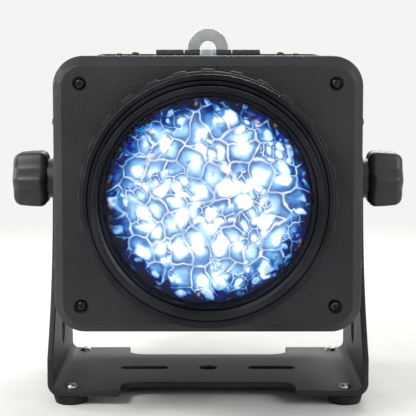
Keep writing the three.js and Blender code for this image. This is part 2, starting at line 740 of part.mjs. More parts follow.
// A lobed grip with a moulded-in stud that reaches through the leg into the housing's boss.
function lockKnob(side) {
  const start = YOKE_OUTER + SEAT_GAP;
  const grip = start + KNOB_COLLAR;
  const end = grip + KNOB_LENGTH;
  const gripShares = [[0, 0.84], [0.2, 1], [0.82, 0.95], [1, 0.74]];
  const lobed = (share) => {
    const points = [];
    for (let i = 0; i < KNOB_STEPS; i++) {
      const angle = (i / KNOB_STEPS) * 2 * Math.PI;
      const radius = share * (KNOB_RADIUS - KNOB_LOBE + KNOB_LOBE * Math.cos(KNOB_LOBES * angle));
      points.push(new THREE.Vector2(radius * Math.cos(angle), radius * Math.sin(angle)));
    }
    return points;
  };
  const levels = gripShares.map(([along, share]) => [grip + along * KNOB_LENGTH, lobed(share)]);
  const body = loftY(levels).rotateZ(-Math.PI / 2);
  const dish = rodX(KNOB_DISH_RADIUS, end - KNOB_DISH, end + OVERRUN, 0, 0);
  const stem = rodX(KNOB_COLLAR_RADIUS, start, grip + OVERRUN, 0, 0);
  const stud = rodX(STUD_RADIUS, HALF_WIDTH - SHEET, start + OVERRUN, 0, 0);
  const made = geometryOf(cut(join(body, stem, stud), dish));
  return side > 0 ? made : made.rotateZ(Math.PI);
}

function addYoke() {
  addPiece("yoke_bracket", yokeBracket(), yokePaint);
  const footX = YOKE_OUTER - FOOT_RADIUS - FOOT_INSET;
  const footY = YOKE_DEPTH / 2 - FOOT_RADIUS;
  addPiece("foot_front_left", foot(-footX, -footY), softRubber);
  addPiece("foot_front_right", foot(footX, -footY), softRubber);
  addPiece("foot_rear_left", foot(-footX, footY), softRubber);
  addPiece("foot_rear_right", foot(footX, footY), softRubber);
  for (const [label, side] of [["left", -1], ["right", 1]]) {
    addPiece(`friction_washer_${label}`, frictionWasher(side), softRubber);
    addPiece(`lock_knob_${label}`, lockKnob(side), blackPlastic);
  }
}

// Housing: a bent chassis and top cover, closed by a cast bezel at each end

function chassis() {
  const section = channelSection(HALF_WIDTH, -HALF_HEIGHT, PARTING_HEIGHT, SHEET, BODY_CORNER);
  const tray = plateY(section, [], SHELL_FRONT, SHELL_REAR - SHELL_FRONT);
  const bosses = [
    rodX(BOSS_RADIUS + BOSS_FLARE, HALF_WIDTH - SHEET / 2, BOSS_FACE, 0, 0, ROD_STEPS, BOSS_RADIUS),
    rodX(BOSS_RADIUS, -BOSS_FACE, -HALF_WIDTH + SHEET / 2, 0, 0, ROD_STEPS, BOSS_RADIUS + BOSS_FLARE),
  ];
  const bores = rodX(STUD_HOLE_RADIUS, -BOSS_FACE - OVERRUN, BOSS_FACE + OVERRUN, 0, 0);
  const vents = [];
  const middle = (SINK_FRONT + SINK_REAR) / 2;
  for (let i = 0; i < SIDE_VENTS; i++) {
    const y = middle + (i - (SIDE_VENTS - 1) / 2) * SIDE_VENT_PITCH;
    vents.push(block(
      -HALF_WIDTH - OVERRUN, HALF_WIDTH + OVERRUN, y - VENT_WIDTH / 2, y + VENT_WIDTH / 2,
      PARTING_HEIGHT - SIDE_VENT_DROP - SIDE_VENT_LENGTH, PARTING_HEIGHT - SIDE_VENT_DROP,
    ));
  }
  const floorVentFront = SHELL_FRONT + FLOOR_VENT_INSET;
  for (let i = 0; i < FLOOR_VENTS; i++) {
    const x = (i - (FLOOR_VENTS - 1) / 2) * FLOOR_VENT_PITCH;
    vents.push(block(
      x - VENT_WIDTH / 2, x + VENT_WIDTH / 2, floorVentFront, floorVentFront + FLOOR_VENT_LENGTH,
      -HALF_HEIGHT - OVERRUN, -HALF_HEIGHT + SHEET + OVERRUN,
    ));
  }
  return cut(join(tray, ...bosses), bores, ...vents);
}

const ACCESS_Y = (FRONT_WHEEL_FRONT + REAR_WHEEL_REAR) / 2;
const HINGE_Y = ACCESS_Y + ACCESS_DEPTH / 2 + DOOR_OVERLAP + KNUCKLE_RADIUS;
const DOOR_UNDERSIDE = HALF_HEIGHT + SEAT_GAP;
const HINGE_Z = DOOR_UNDERSIDE + DOOR_SHEET + KNUCKLE_RADIUS / 2;
const LATCH_Y = ACCESS_Y - ACCESS_DEPTH / 2 - DOOR_OVERLAP - DOOR_TONGUE / 2;

function hingePinBore() {
  return rodX(HINGE_PIN_BORE, -HALF_WIDTH, HALF_WIDTH, HINGE_Y, HINGE_Z, PIN_STEPS);
}

function topCover() {
  const section = channelSection(
    HALF_WIDTH, -HALF_HEIGHT, -(PARTING_HEIGHT + SEAT_GAP), SHEET, BODY_CORNER,
  ).map((p) => new THREE.Vector2(-p.x, -p.y));
  const shell = plateY(section, [], SHELL_FRONT, SHELL_REAR - SHELL_FRONT);
  const topCut = (points) =>
    plateZ(points, [], HALF_HEIGHT - SHEET - OVERRUN, SHEET + 2 * OVERRUN);
  const opening = topCut(roundedRectangle(
    ACCESS_WIDTH / 2, ACCESS_DEPTH / 2, ACCESS_CORNER, CORNER_STEPS, 0, ACCESS_Y,
  ));
  const latchHole = topCut(circlePoints(LATCH_HOLE_RADIUS, PIN_STEPS, 0, LATCH_Y));
  const middle = (SINK_FRONT + SINK_REAR) / 2;
  const vents = [];
  for (let i = 0; i < TOP_VENTS; i++) {
    const x = (i - (TOP_VENTS - 1) / 2) * TOP_VENT_PITCH;
    vents.push(topCut(rectangle(VENT_WIDTH / 2, TOP_VENT_LENGTH / 2, x, middle)));
  }
  const knuckles = [1, -1].flatMap((side) => {
    const near = DOOR_KNUCKLE_LENGTH / 2 + RUN_GAP;
    const far = near + KNUCKLE_LENGTH;
    const [x0, x1] = side > 0 ? [near, far] : [-far, -near];
    return [
      rodX(KNUCKLE_RADIUS, x0, x1, HINGE_Y, HINGE_Z, PIN_STEPS),
      block(x0, x1, HINGE_Y - KNUCKLE_RADIUS, HINGE_Y + KNUCKLE_RADIUS, HALF_HEIGHT - SHEET / 2, HINGE_Z),
    ];
  });
  return cut(join(shell, ...knuckles), opening, latchHole, ...vents, hingePinBore());
}

function frontBezel() {
  const outer = (inset) => roundedRectangle(
    BEZEL_HALF_WIDTH - inset, BEZEL_HALF_HEIGHT - inset, BEZEL_CORNER - inset,
  );
  const rear = FACE_FRONT + BEZEL_DEPTH;
  const body = loftY([
    [FACE_FRONT, outer(BEZEL_CHAMFER)],
    [FACE_FRONT + BEZEL_CHAMFER, outer(0)],
    [rear, outer(0)],
  ]);
  const pocket = plateY(outer(BEZEL_WALL), [], FACE_REAR, BEZEL_DEPTH);
  const hole = rodY(COLLAR_OUTER + SEAT_GAP, FACE_FRONT - OVERRUN, FACE_REAR + OVERRUN, 0, 0, BARREL_STEPS);
  return cut(body, pocket, hole);
}

function rearBezel() {
  const outer = (inset) => roundedRectangle(
    BEZEL_HALF_WIDTH - inset, BEZEL_HALF_HEIGHT - inset, BEZEL_CORNER - inset,
  );
  const body = loftY([
    [REAR_BEZEL_FRONT, outer(0)],
    [REAR_BEZEL_STRAIGHT, outer(0)],
    [REAR_REACH, outer(REAR_CHAMFER)],
  ]);
  const pocket = loftY([
    [REAR_BEZEL_FRONT - OVERRUN, outer(BEZEL_WALL)],
    [SHELL_REAR + SEAT_GAP, outer(BEZEL_WALL)],
    [LIP_FRONT, outer(OPENING_INSET - PANEL_OVERLAP - RUN_GAP)],
  ]);
  const opening = plateY(outer(OPENING_INSET), [], LIP_FRONT - OVERRUN, REAR_LIP + 2 * OVERRUN);
  return cut(body, pocket, opening);
}

function lensCollar() {
  return turned([
    [COLLAR_BORE, COLLAR_FRONT],
    [COLLAR_OUTER, COLLAR_FRONT],
    [COLLAR_OUTER, FLANGE_FRONT],
    [RING_OUTER, FLANGE_FRONT],
    [RING_OUTER, FLANGE_REAR],
    [COLLAR_OUTER, FLANGE_REAR],
    [COLLAR_OUTER, FACE_FRONT + COLLAR_INSERT],
    [COLLAR_BORE, FACE_FRONT + COLLAR_INSERT],
  ]);
}

function ringStop() {
  return ring(COLLAR_OUTER + SEAT_GAP, RING_OUTER - RING_RIB, STOP_FRONT, STOP_REAR);
}

function safetyEye() {
  const floor = HALF_HEIGHT + SEAT_GAP;
  const halfWidth = EYE_WIDTH / 2;
  const topZ = floor + EYE_HEIGHT;
  const front = HINGE_Y + KNUCKLE_RADIUS + EYE_BEHIND;
  const upright = [
    new THREE.Vector2(-halfWidth, floor),
    new THREE.Vector2(halfWidth, floor),
    ...arcPoints(0, topZ - halfWidth, halfWidth, 0, Math.PI, PIN_STEPS),
  ];
  const hole = circlePoints(EYE_HOLE_RADIUS, ROD_STEPS, 0, topZ - halfWidth);
  return join(
    plateY(upright, [hole], front, EYE_SHEET),
    block(-halfWidth, halfWidth, front, front + EYE_FOOT, floor, floor + EYE_SHEET),
  );
}

function accessDoor() {
  const halfWidth = ACCESS_WIDTH / 2 + DOOR_OVERLAP;
  const rearEdge = HINGE_Y - KNUCKLE_RADIUS - RUN_GAP;
  const frontEdge = ACCESS_Y - ACCESS_DEPTH / 2 - DOOR_OVERLAP;
  const middle = (rearEdge + frontEdge) / 2;
  const leaf = roundedRectangle(
    halfWidth, (rearEdge - frontEdge) / 2, ACCESS_CORNER, CORNER_STEPS, 0, middle,
  );
  const tongue = roundedRectangle(
    DOOR_TONGUE, DOOR_TONGUE, ACCESS_CORNER, CORNER_STEPS, 0, frontEdge,
  );
  const half = DOOR_KNUCKLE_LENGTH / 2;
  return cut(
    join(
      plateZ(leaf, [], DOOR_UNDERSIDE, DOOR_SHEET),
      plateZ(tongue, [], DOOR_UNDERSIDE, DOOR_SHEET),
      block(-half, half, rearEdge - OVERRUN, HINGE_Y, DOOR_UNDERSIDE, DOOR_UNDERSIDE + DOOR_SHEET),
      rodX(KNUCKLE_RADIUS, -half, half, HINGE_Y, HINGE_Z, PIN_STEPS),
    ),
    hingePinBore(),
    rodZ(LATCH_SHANK_RADIUS + RUN_GAP, DOOR_UNDERSIDE - OVERRUN, DOOR_UNDERSIDE + DOOR_SHEET + OVERRUN,
      0, LATCH_Y, PIN_STEPS),
  );
}

function doorHingePin() {
  const half = DOOR_KNUCKLE_LENGTH / 2 + RUN_GAP + KNUCKLE_LENGTH + HINGE_PIN_PROUD;
  return rodX(HINGE_PIN_RADIUS, -half, half, HINGE_Y, HINGE_Z, PIN_STEPS);
}

function doorLatch() {
  const seat = DOOR_UNDERSIDE + DOOR_SHEET + SEAT_GAP;
  const top = seat + LATCH_HEAD_HEIGHT;
  return cut(
    join(
      rodZ(LATCH_HEAD_RADIUS, seat, top, 0, LATCH_Y),
      rodZ(LATCH_SHANK_RADIUS, DOOR_UNDERSIDE - LATCH_SHANK_REACH, seat + OVERRUN, 0, LATCH_Y, PIN_STEPS),
    ),
    block(-LATCH_HEAD_RADIUS, LATCH_HEAD_RADIUS, LATCH_Y - LATCH_SLOT_WIDTH / 2,
      LATCH_Y + LATCH_SLOT_WIDTH / 2, top - LATCH_SLOT_DEPTH, top + OVERRUN),
  );
}

function addHousing() {
  addPiece("chassis", chassis(), powderCoat);
  addPiece("top_cover", topCover(), powderCoat);
  addPiece("front_bezel", frontBezel(), castPaint);
  addPiece("rear_bezel", rearBezel(), castPaint);
  addPiece("lens_collar", lensCollar(), blackAnodised);
  addPiece("ring_stop", ringStop(), blackAnodised);
  addPiece("safety_eye", safetyEye(), zincSteel);
  addPiece("access_door", accessDoor(), powderCoat);
  addPiece("door_hinge_pin", doorHingePin(), zincSteel);
  addPiece("door_latch", doorLatch(), zincSteel);
}

// Lens barrel: the tube slides in the collar as the focus ring turns round it

// A lens with its flat face at y = 0 and its curved face towards +y.
function planoConvex(radius, edge, sag, arcSteps, steps) {
  const curveRadius = (radius * radius + sag * sag) / (2 * sag);
  const profile = [[0, 0], [radius, 0]];
  for (let i = 0; i <= arcSteps; i++) {
    const r = radius * (1 - i / arcSteps);
    const fall = curveRadius - Math.sqrt(curveRadius * curveRadius - r * r);
    profile.push([r, edge + sag - fall]);
  }
  return turned(profile, steps);
}

const GUIDE_REAR = FACE_FRONT + COLLAR_INSERT + FOCUS_TRAVEL + GUIDE_SPARE;
const REAR_LENS_FLAT = TUBE_REAR - REAR_LENS_INSET - REAR_LENS_EDGE;

function lensTube() {
  const shoulder = LENS_BACK + SEAT_GAP;
  const rearBore = REAR_LENS_RADIUS + SEAT_GAP;
  const rearOuter = rearBore + TUBE_WALL;
  const rearSeat = REAR_LENS_FLAT - SEAT_GAP;
  const baffle = TUBE_FRONT + BAFFLE_SETBACK;
  return turned([
    [TUBE_BORE, TUBE_FRONT],
    [TUBE_OUTER, TUBE_FRONT],
    [TUBE_OUTER, GUIDE_REAR],
    [rearOuter, rearSeat - TUBE_LIP],
    [rearOuter, TUBE_REAR],
    [rearBore, TUBE_REAR],
    [rearBore, rearSeat],
    [rearBore - TUBE_LIP, rearSeat],
    [rearBore - TUBE_LIP, rearSeat - TUBE_LIP],
    [TUBE_BORE, GUIDE_REAR - TUBE_WALL],
    [TUBE_BORE, baffle + BAFFLE_SHEET],
    [BAFFLE_RADIUS, baffle + BAFFLE_SHEET],
    [BAFFLE_RADIUS, baffle],
    [TUBE_BORE, baffle],
    [TUBE_BORE, shoulder + TUBE_LIP],
    [LENS_RADIUS - TUBE_LIP, shoulder + TUBE_LIP],
    [LENS_RADIUS - TUBE_LIP, shoulder],
    [TUBE_BORE, shoulder],
  ]);
}

function focusRing() {
  const points = [];
  const ribAngle = (2 * Math.PI) / RING_RIBS;
  const crest = RING_OUTER + RING_RIB;
  const ribShares = [[0, RING_OUTER], [0.45, RING_OUTER], [0.6, crest], [0.85, crest]];
  for (let i = 0; i < RING_RIBS; i++) {
    for (const [share, radius] of ribShares) {
      const angle = (i + share) * ribAngle;
      points.push(new THREE.Vector2(radius * Math.cos(angle), radius * Math.sin(angle)));
    }
  }
  const grip = plateY(points, [circlePoints(RING_BORE, BARREL_STEPS)], RING_FRONT, RING_LENGTH);
  const band = ring(RING_OUTER - RING_RIB, crest + OVERRUN, RING_FRONT - OVERRUN, RING_FRONT + RING_BAND);
  return cut(grip, band);
}

function addBarrel() {
  addPiece("lens_tube", lensTube(), blackAnodised);
  const frontLens = planoConvex(LENS_RADIUS, LENS_EDGE, LENS_SAG, LENS_ARC_STEPS, BARREL_STEPS);
  addPiece("front_lens", frontLens.rotateX(Math.PI).translate(0, LENS_BACK, 0), crownGlass);
  const rearLens = planoConvex(
    REAR_LENS_RADIUS, REAR_LENS_EDGE, REAR_LENS_SAG, SMALL_LENS_ARC_STEPS, BARREL_STEPS,
  );
  addPiece("rear_lens", rearLens.translate(0, REAR_LENS_FLAT, 0), crownGlass);
  const retainerRear = LENS_EDGE_FRONT - RETAINER_SEAT;
  const retainer = ring(LENS_RADIUS - RETAINER_WIDTH, LENS_RADIUS, retainerRear - RETAINER_LENGTH,
    retainerRear);
  addPiece("lens_retainer", retainer, blackAnodised);
  addPiece("focus_ring", focusRing(), softRubber);
}

// Effect module: a plate with an axle on each side, and two geared discs of rippled glass

function modulePlate() {
  const halfWidth = HALF_WIDTH - SHEET - SEAT_GAP;
  const bottom = MOTOR_Z - MOTOR_RADIUS;
  const top = WHEEL_PITCH_RADIUS;
  const middle = (top + bottom) / 2;
  const outline = rectangle(halfWidth, (top - bottom) / 2, 0, middle);
  const gate = circlePoints(GATE_RADIUS + RUN_GAP, DISC_STEPS);
  const shaftHoles = [1, -1].map((side) =>
    circlePoints(MOTOR_BOSS_RADIUS + SEAT_GAP, ROD_STEPS, side * MOTOR_X, MOTOR_Z),
  );
  const flange = (x0) => block(x0, x0 + MODULE_SHEET, PLATE_FRONT, PLATE_FRONT + MODULE_FLANGE,
    bottom, BOSS_RADIUS);
  return join(
    plateY(outline, [gate, ...shaftHoles], PLATE_FRONT, MODULE_SHEET),
    flange(-halfWidth),
    flange(halfWidth - MODULE_SHEET),
    rodY(AXLE_RADIUS, PLATE_REAR - OVERRUN, REAR_WHEEL_REAR + AXLE_PROUD, -WHEEL_OFFSET, 0, PIN_STEPS),
    rodY(AXLE_RADIUS, FRONT_WHEEL_FRONT - AXLE_PROUD, PLATE_FRONT + OVERRUN, WHEEL_OFFSET, 0, PIN_STEPS),
  );
}

// Wheels, motors and pinions are drawn for the rear side of the plate. The front side has the same,
// turned half round a vertical axis through the plate's middle.
function onSide(side, shape) {
  if (side === "rear") return shape;
  const middle = (PLATE_FRONT + PLATE_REAR) / 2;
  return geometryOf(shape).translate(0, -middle, 0).rotateZ(Math.PI).translate(0, middle, 0);
}

function onAxle(shape) {
  return geometryOf(shape).translate(-WHEEL_OFFSET, REAR_WHEEL_FRONT, 0);
}

function wheelRim() {
  const teeth = gearOutline(WHEEL_TEETH, WHEEL_PITCH_RADIUS, PINION_ANGLE);
  return onAxle(plateY(teeth, [circlePoints(RIM_BORE, DISC_STEPS)], 0, WHEEL_THICKNESS));
}

// A glass disc whose two faces swell and dip like water.
function effectGlass() {
  const inner = HUB_RADIUS + SEAT_GAP;
  const middle = WHEEL_THICKNESS / 2;
  const ripple = (share, angle, phase) =>
    Math.sin(RIPPLE_LOBES * (angle + share) + phase) * Math.cos(RIPPLE_TURNS * (angle - share * Math.PI));
  const sides = [-1, 1].map((side) => {
    const rings = [];
    for (let i = 0; i <= GLASS_RINGS; i++) {
      const share = i / GLASS_RINGS;
      const radius = inner + (GLASS_RADIUS - inner) * share;
      const edge = i === 0 || i === GLASS_RINGS ? 0 : 1;
      rings.push(circlePoints(radius, DISC_STEPS).map((p, k) => {
        const wave = edge * GLASS_RIPPLE * ripple(share, (2 * Math.PI * k) / DISC_STEPS, side);
        return new THREE.Vector3(p.x, middle + side * (GLASS_THICKNESS / 2) + wave, p.y);
      }));
    }
    return rings;
  });
  const loop = [...sides[0], ...sides[1].reverse()];
  const faces = [];
  loop.forEach((ringPoints, level) => {
    const next = ((level + 1) % loop.length) * DISC_STEPS;
    for (let i = 0; i < DISC_STEPS; i++) {
      const a = level * DISC_STEPS + i;
      const b = level * DISC_STEPS + ((i + 1) % DISC_STEPS);
      const c = next + ((i + 1) % DISC_STEPS);
      const d = next + i;
      faces.push(a, b, c, a, c, d);
    }
  });
  const geometry = new THREE.BufferGeometry();
  const positions = loop.flat().flatMap((p) => [p.x, p.y, p.z]);
  geometry.setAttribute("position", new THREE.Float32BufferAttribute(positions, 3));
  geometry.setIndex(faces);
  return onAxle(geometry);
}

function wheelHub() {
  const bore = AXLE_RADIUS + SEAT_GAP;
  const glassRear = WHEEL_THICKNESS / 2 + GLASS_THICKNESS / 2 + SEAT_GAP;
  return onAxle(turned([
    [bore, SEAT_GAP],
    [HUB_RADIUS, SEAT_GAP],
    [HUB_RADIUS, glassRear],
    [HUB_FLANGE_RADIUS, glassRear],
    [HUB_FLANGE_RADIUS, glassRear + HUB_FLANGE],
    [bore, glassRear + HUB_FLANGE],
  ], ROD_STEPS));
}

// The motor stands on the far side of the plate from its wheel, with its shaft reaching through.
function wheelMotor() {
  const face = PLATE_FRONT - SEAT_GAP;
  return cut(
    join(
      rodY(MOTOR_RADIUS, face - MOTOR_LENGTH, face, -MOTOR_X, MOTOR_Z),
      rodY(MOTOR_BOSS_RADIUS, face - OVERRUN, face + MOTOR_BOSS, -MOTOR_X, MOTOR_Z),
    ),
    rodY(SHAFT_RADIUS + SEAT_GAP, face - SHAFT_DEPTH - SEAT_GAP, face + MOTOR_BOSS + OVERRUN,
      -MOTOR_X, MOTOR_Z, PIN_STEPS),
  );
}

function pinion() {
  const toothAngle = PINION_ANGLE + Math.PI + Math.PI / PINION_TEETH;
  const gear = plateY(gearOutline(PINION_TEETH, PINION_PITCH_RADIUS, toothAngle), [], 0, WHEEL_THICKNESS)
    .translate(-MOTOR_X, REAR_WHEEL_FRONT, MOTOR_Z);
  return join(
    gear,
    rodY(SHAFT_RADIUS, PLATE_FRONT - SHAFT_DEPTH, REAR_WHEEL_FRONT + OVERRUN, -MOTOR_X, MOTOR_Z, PIN_STEPS),
  );
}

function addEffectModule() {
  addPiece("module_plate", modulePlate(), zincSteel);
  for (const side of ["rear", "front"]) {
    addPiece(`wheel_rim_${side}`, onSide(side, wheelRim()), acetal);
    addPiece(`effect_glass_${side}`, onSide(side, effectGlass()), rippledGlass);
    addPiece(`wheel_hub_${side}`, onSide(side, wheelHub()), millAluminium);
    addPiece(`wheel_motor_${side}`, onSide(side, wheelMotor()), zincSteel);
    addPiece(`pinion_${side}`, onSide(side, pinion()), acetal);
  }
}

// Light engine: bulkhead, condenser, emitter board, heatsink and fan

function bulkheadPlate() {
  const outline = roundedRectangle(
    HALF_WIDTH - SHEET - SEAT_GAP, HALF_HEIGHT - SHEET - SEAT_GAP, BODY_CORNER - SHEET - SEAT_GAP,
  );
  const half = LED_BOARD_SIZE / 2 + SEAT_GAP;
  const slotX = HALF_WIDTH - AIR_SLOT_EDGE - AIR_SLOT_WIDTH / 2;
  const air = [1, -1].map((side) => rectangle(AIR_SLOT_WIDTH / 2, AIR_SLOT_HEIGHT / 2, side * slotX, 0));
  return plateY(outline, [rectangle(half, half), ...air], BULKHEAD_FRONT, SHEET);
}

function condenserHolder() {
  const bore = CONDENSER_RADIUS + SEAT_GAP;
  const outer = bore + CONDENSER_WALL;
  const rear = GATE_FRONT + CONDENSER_LENGTH;
  return turned([
    [GATE_RADIUS, GATE_FRONT],
    [outer, GATE_FRONT],
    [outer, rear - CONDENSER_FLANGE],
    [CONDENSER_FLANGE_RADIUS, rear - CONDENSER_FLANGE],
    [CONDENSER_FLANGE_RADIUS, rear],
    [bore, rear],
    [bore, GATE_FRONT + GATE_WALL],
    [GATE_RADIUS, GATE_FRONT + GATE_WALL],
  ], DISC_STEPS);
}

// The condenser's two lenses stand in the holder with their curved faces outwards.
function condenserLens(side) {
  const lens = planoConvex(
    CONDENSER_RADIUS, CONDENSER_EDGE, CONDENSER_SAG, SMALL_LENS_ARC_STEPS, DISC_STEPS,
  );
  const frontFlat = GATE_FRONT + GATE_WALL + CONDENSER_AIR + CONDENSER_EDGE + CONDENSER_SAG;
  if (side === "front") return lens.rotateX(Math.PI).translate(0, frontFlat, 0);
  return lens.translate(0, frontFlat + CONDENSER_AIR, 0);
}

function ledBoard() {
  const half = LED_BOARD_SIZE / 2;
  const rear = SINK_FRONT - SEAT_GAP;
  return join(
    block(-half, half, rear - LED_BOARD, rear, -half, half),
    rodY(LED_EMITTER_RADIUS, rear - LED_BOARD - LED_EMITTER, rear - LED_BOARD / 2, 0, 0),
  );
}

function heatsink() {
  const half = SINK_SIZE / 2;
  const root = SINK_FRONT + SINK_BASE;
  const pitch = (SINK_SIZE - SINK_FIN) / (SINK_FINS - 1);
  const comb = [new THREE.Vector2(-half, SINK_FRONT), new THREE.Vector2(half, SINK_FRONT)];
  for (let i = SINK_FINS - 1; i >= 0; i--) {
    const left = -half + i * pitch;
    if (i < SINK_FINS - 1) comb.push(new THREE.Vector2(left + SINK_FIN, root));
    comb.push(new THREE.Vector2(left + SINK_FIN, SINK_REAR), new THREE.Vector2(left, SINK_REAR));
    if (i > 0) comb.push(new THREE.Vector2(left, root));
  }
  return plateZ(comb, [], -half, SINK_SIZE);
}

function fanFrame() {
  const half = FAN_SIZE / 2;
  const duct = circlePoints(FAN_DUCT_RADIUS, DISC_STEPS);
  const body = plateY(roundedRectangle(half, half, FAN_CORNER), [duct], FAN_FRONT, FAN_DEPTH);
  const arms = [0, 1].map((i) =>
    block(-FAN_DUCT_RADIUS - OVERRUN, FAN_DUCT_RADIUS + OVERRUN, FAN_REAR - FAN_SPIDER, FAN_REAR,
      -FAN_SPIDER_ARM / 2, FAN_SPIDER_ARM / 2).rotateY(Math.PI / 4 + (i * Math.PI) / 2));
  const hub = rodY(FAN_HUB_RADIUS, FAN_REAR - FAN_SPIDER, FAN_REAR, 0, 0);
  return geometryOf(join(body, hub, ...arms)).translate(FAN_X, 0, FAN_Z);
}

function fanRotor() {
  const rear = FAN_REAR - FAN_SPIDER - RUN_GAP;
  const front = rear - FAN_BLADE_DEPTH - FAN_BLADE;
  const tip = FAN_DUCT_RADIUS - 2 * RUN_GAP;
  const corners = [[-1, -1], [1, -1], [1, 1], [-1, 1]];
  const blade = (index) => {
    const turn = (index * 2 * Math.PI) / FAN_BLADES;
    const rings = FAN_PITCHES.map((degrees, level) => {
      const pitch = THREE.MathUtils.degToRad(degrees);
      const radius = FAN_BLADE_ROOT + ((tip - FAN_BLADE_ROOT) * level) / (FAN_PITCHES.length - 1);
      const along = new THREE.Vector2(Math.cos(pitch), Math.sin(pitch));
      const chord = FAN_BLADE_DEPTH / Math.sin(pitch);
      return corners.map(([u, v]) => {
        const across = (u * chord * along.x) / 2 - (v * FAN_BLADE * along.y) / 2;
        const deep = (u * chord * along.y) / 2 + (v * FAN_BLADE * along.x) / 2;
        const angle = turn + across / radius;
        const y = (front + rear) / 2 + deep;
        return new THREE.Vector3(radius * Math.cos(angle), y, radius * Math.sin(angle));
      });
    });
    return loft(rings);
  };
  const blades = Array.from({ length: FAN_BLADES }, (_, i) => blade(i));
  return geometryOf(join(rodY(FAN_HUB_RADIUS, front, rear, 0, 0), ...blades)).translate(FAN_X, 0, FAN_Z);
}

function fanGuard() {
  const y0 = SOCKET_FACE;
  const y1 = y0 + GUARD_WIRE;
  const pitch = FAN_DUCT_RADIUS / GUARD_RINGS;
  const rings = Array.from({ length: GUARD_RINGS }, (_, i) => {
    const middle = (i + 1) * pitch;
    return ring(middle - GUARD_WIRE / 2, middle + GUARD_WIRE / 2, y0, y1, GUARD_STEPS);
  });
  const reach = FAN_SIZE / Math.SQRT2 - FAN_CORNER;
  const bars = [0, 1].map((i) =>
    block(-reach, reach, y0, y1, -GUARD_BAR / 2, GUARD_BAR / 2).rotateY(Math.PI / 4 + (i * Math.PI) / 2));
  return geometryOf(join(...rings.concat(bars))).translate(FAN_X, 0, FAN_Z);
}

function addLightEngine() {
  addPiece("bulkhead_plate", bulkheadPlate(), zincSteel);
  addPiece("condenser_holder", condenserHolder(), blackAnodised);
  addPiece("condenser_lens_front", condenserLens("front"), crownGlass);
  addPiece("condenser_lens_rear", condenserLens("rear"), crownGlass);
  addPiece("led_board", ledBoard(), circuitBoard);
  addPiece("heatsink", heatsink(), blackAnodised);
  addPiece("fan_frame", fanFrame(), blackPlastic);
  addPiece("fan_rotor", fanRotor(), blackPlastic);
  addPiece("fan_guard", fanGuard(), zincSteel);
}

// Rear panel: fan outlet, display and buttons, data sockets and the mains inlet

const buttonX = (i) => DISPLAY_X + (i - (BUTTONS - 1) / 2) * BUTTON_PITCH;

function rearPanel() {
  const inset = OPENING_INSET - PANEL_OVERLAP;
  const outline = roundedRectangle(
    BEZEL_HALF_WIDTH - inset, BEZEL_HALF_HEIGHT - inset, Math.max(BEZEL_CORNER - inset, SHEET),
  );
  const holes = [
    circlePoints(FAN_DUCT_RADIUS - FAN_CORNER / 2, DISC_STEPS, FAN_X, FAN_Z),
    rectangle(DISPLAY_WIDTH / 2 + SEAT_GAP, DISPLAY_HEIGHT / 2 + SEAT_GAP, DISPLAY_X, DISPLAY_Z),
    circlePoints(DATA_BARREL_RADIUS + SEAT_GAP, ROD_STEPS, DATA_IN_X, DATA_Z),
    circlePoints(DATA_BARREL_RADIUS + SEAT_GAP, ROD_STEPS, DATA_OUT_X, DATA_Z),
    rectangle(POWER_BODY_WIDTH / 2 + SEAT_GAP, POWER_BODY_HEIGHT / 2 + SEAT_GAP, POWER_X, POWER_Z),
  ];
  for (let i = 0; i < BUTTONS; i++) {
    holes.push(circlePoints(BUTTON_RADIUS + SEAT_GAP, PIN_STEPS, buttonX(i), BUTTON_Z));
  }
  return cut(plateY(outline, holes, PANEL_FRONT, SHEET), latchTabRoom());
}

function displayWindow() {
  return plateY(
    rectangle(DISPLAY_WIDTH / 2, DISPLAY_HEIGHT / 2, DISPLAY_X, DISPLAY_Z), [], PANEL_FRONT, SHEET,
  );
}

const BOARD_REAR = PANEL_FRONT - SEAT_GAP - BOARD_STANDOFF;
const SWITCH_TOP = BOARD_REAR + SWITCH_HEIGHT;
const BUTTON_FLANGE_FRONT = PANEL_FRONT - SEAT_GAP - BUTTON_FLANGE;

function controlBoard() {
  const left = DISPLAY_X - BOARD_WIDTH / 2;
  const right = DISPLAY_X + BOARD_WIDTH / 2;
  const top = DISPLAY_Z + DISPLAY_HEIGHT / 2 + BOARD_RISE;
  const bottom = BUTTON_Z - BOARD_DROP;
  const sunk = BOARD_REAR - BOARD_SHEET / 2;
  const pieces = [
    block(left, right, BOARD_REAR - BOARD_SHEET, BOARD_REAR, bottom, top),
    block(DISPLAY_X - DISPLAY_WIDTH / 2, DISPLAY_X + DISPLAY_WIDTH / 2, sunk, PANEL_FRONT - RUN_GAP,
      DISPLAY_Z - DISPLAY_HEIGHT / 2, DISPLAY_Z + DISPLAY_HEIGHT / 2),
  ];
  const half = SWITCH_SIZE / 2;
  for (let i = 0; i < BUTTONS; i++) {
    pieces.push(block(buttonX(i) - half, buttonX(i) + half, sunk, SWITCH_TOP,
      BUTTON_Z - half, BUTTON_Z + half));
  }
  for (const x of [left + STANDOFF_RADIUS, right - STANDOFF_RADIUS]) {
    for (const z of [bottom + STANDOFF_RADIUS, top - STANDOFF_RADIUS]) {
      pieces.push(rodY(STANDOFF_RADIUS, sunk, PANEL_FRONT - SEAT_GAP, x, z, FINE_PIN_STEPS));
    }
  }
  return join(...pieces);
}

function pushButton(i) {
  const flangeRear = PANEL_FRONT - SEAT_GAP;
  const stemFront = SWITCH_TOP + BUTTON_TRAVEL + BUTTON_AIR;
  return join(
    rodY(BUTTON_RADIUS, BUTTON_FLANGE_FRONT, PANEL_REAR + BUTTON_PROUD, buttonX(i), BUTTON_Z, PIN_STEPS),
    rodY(BUTTON_FLANGE_RADIUS, BUTTON_FLANGE_FRONT, flangeRear, buttonX(i), BUTTON_Z, PIN_STEPS),
    rodY(BUTTON_STEM_RADIUS, stemFront, flangeRear, buttonX(i), BUTTON_Z, FINE_PIN_STEPS),
  );
}

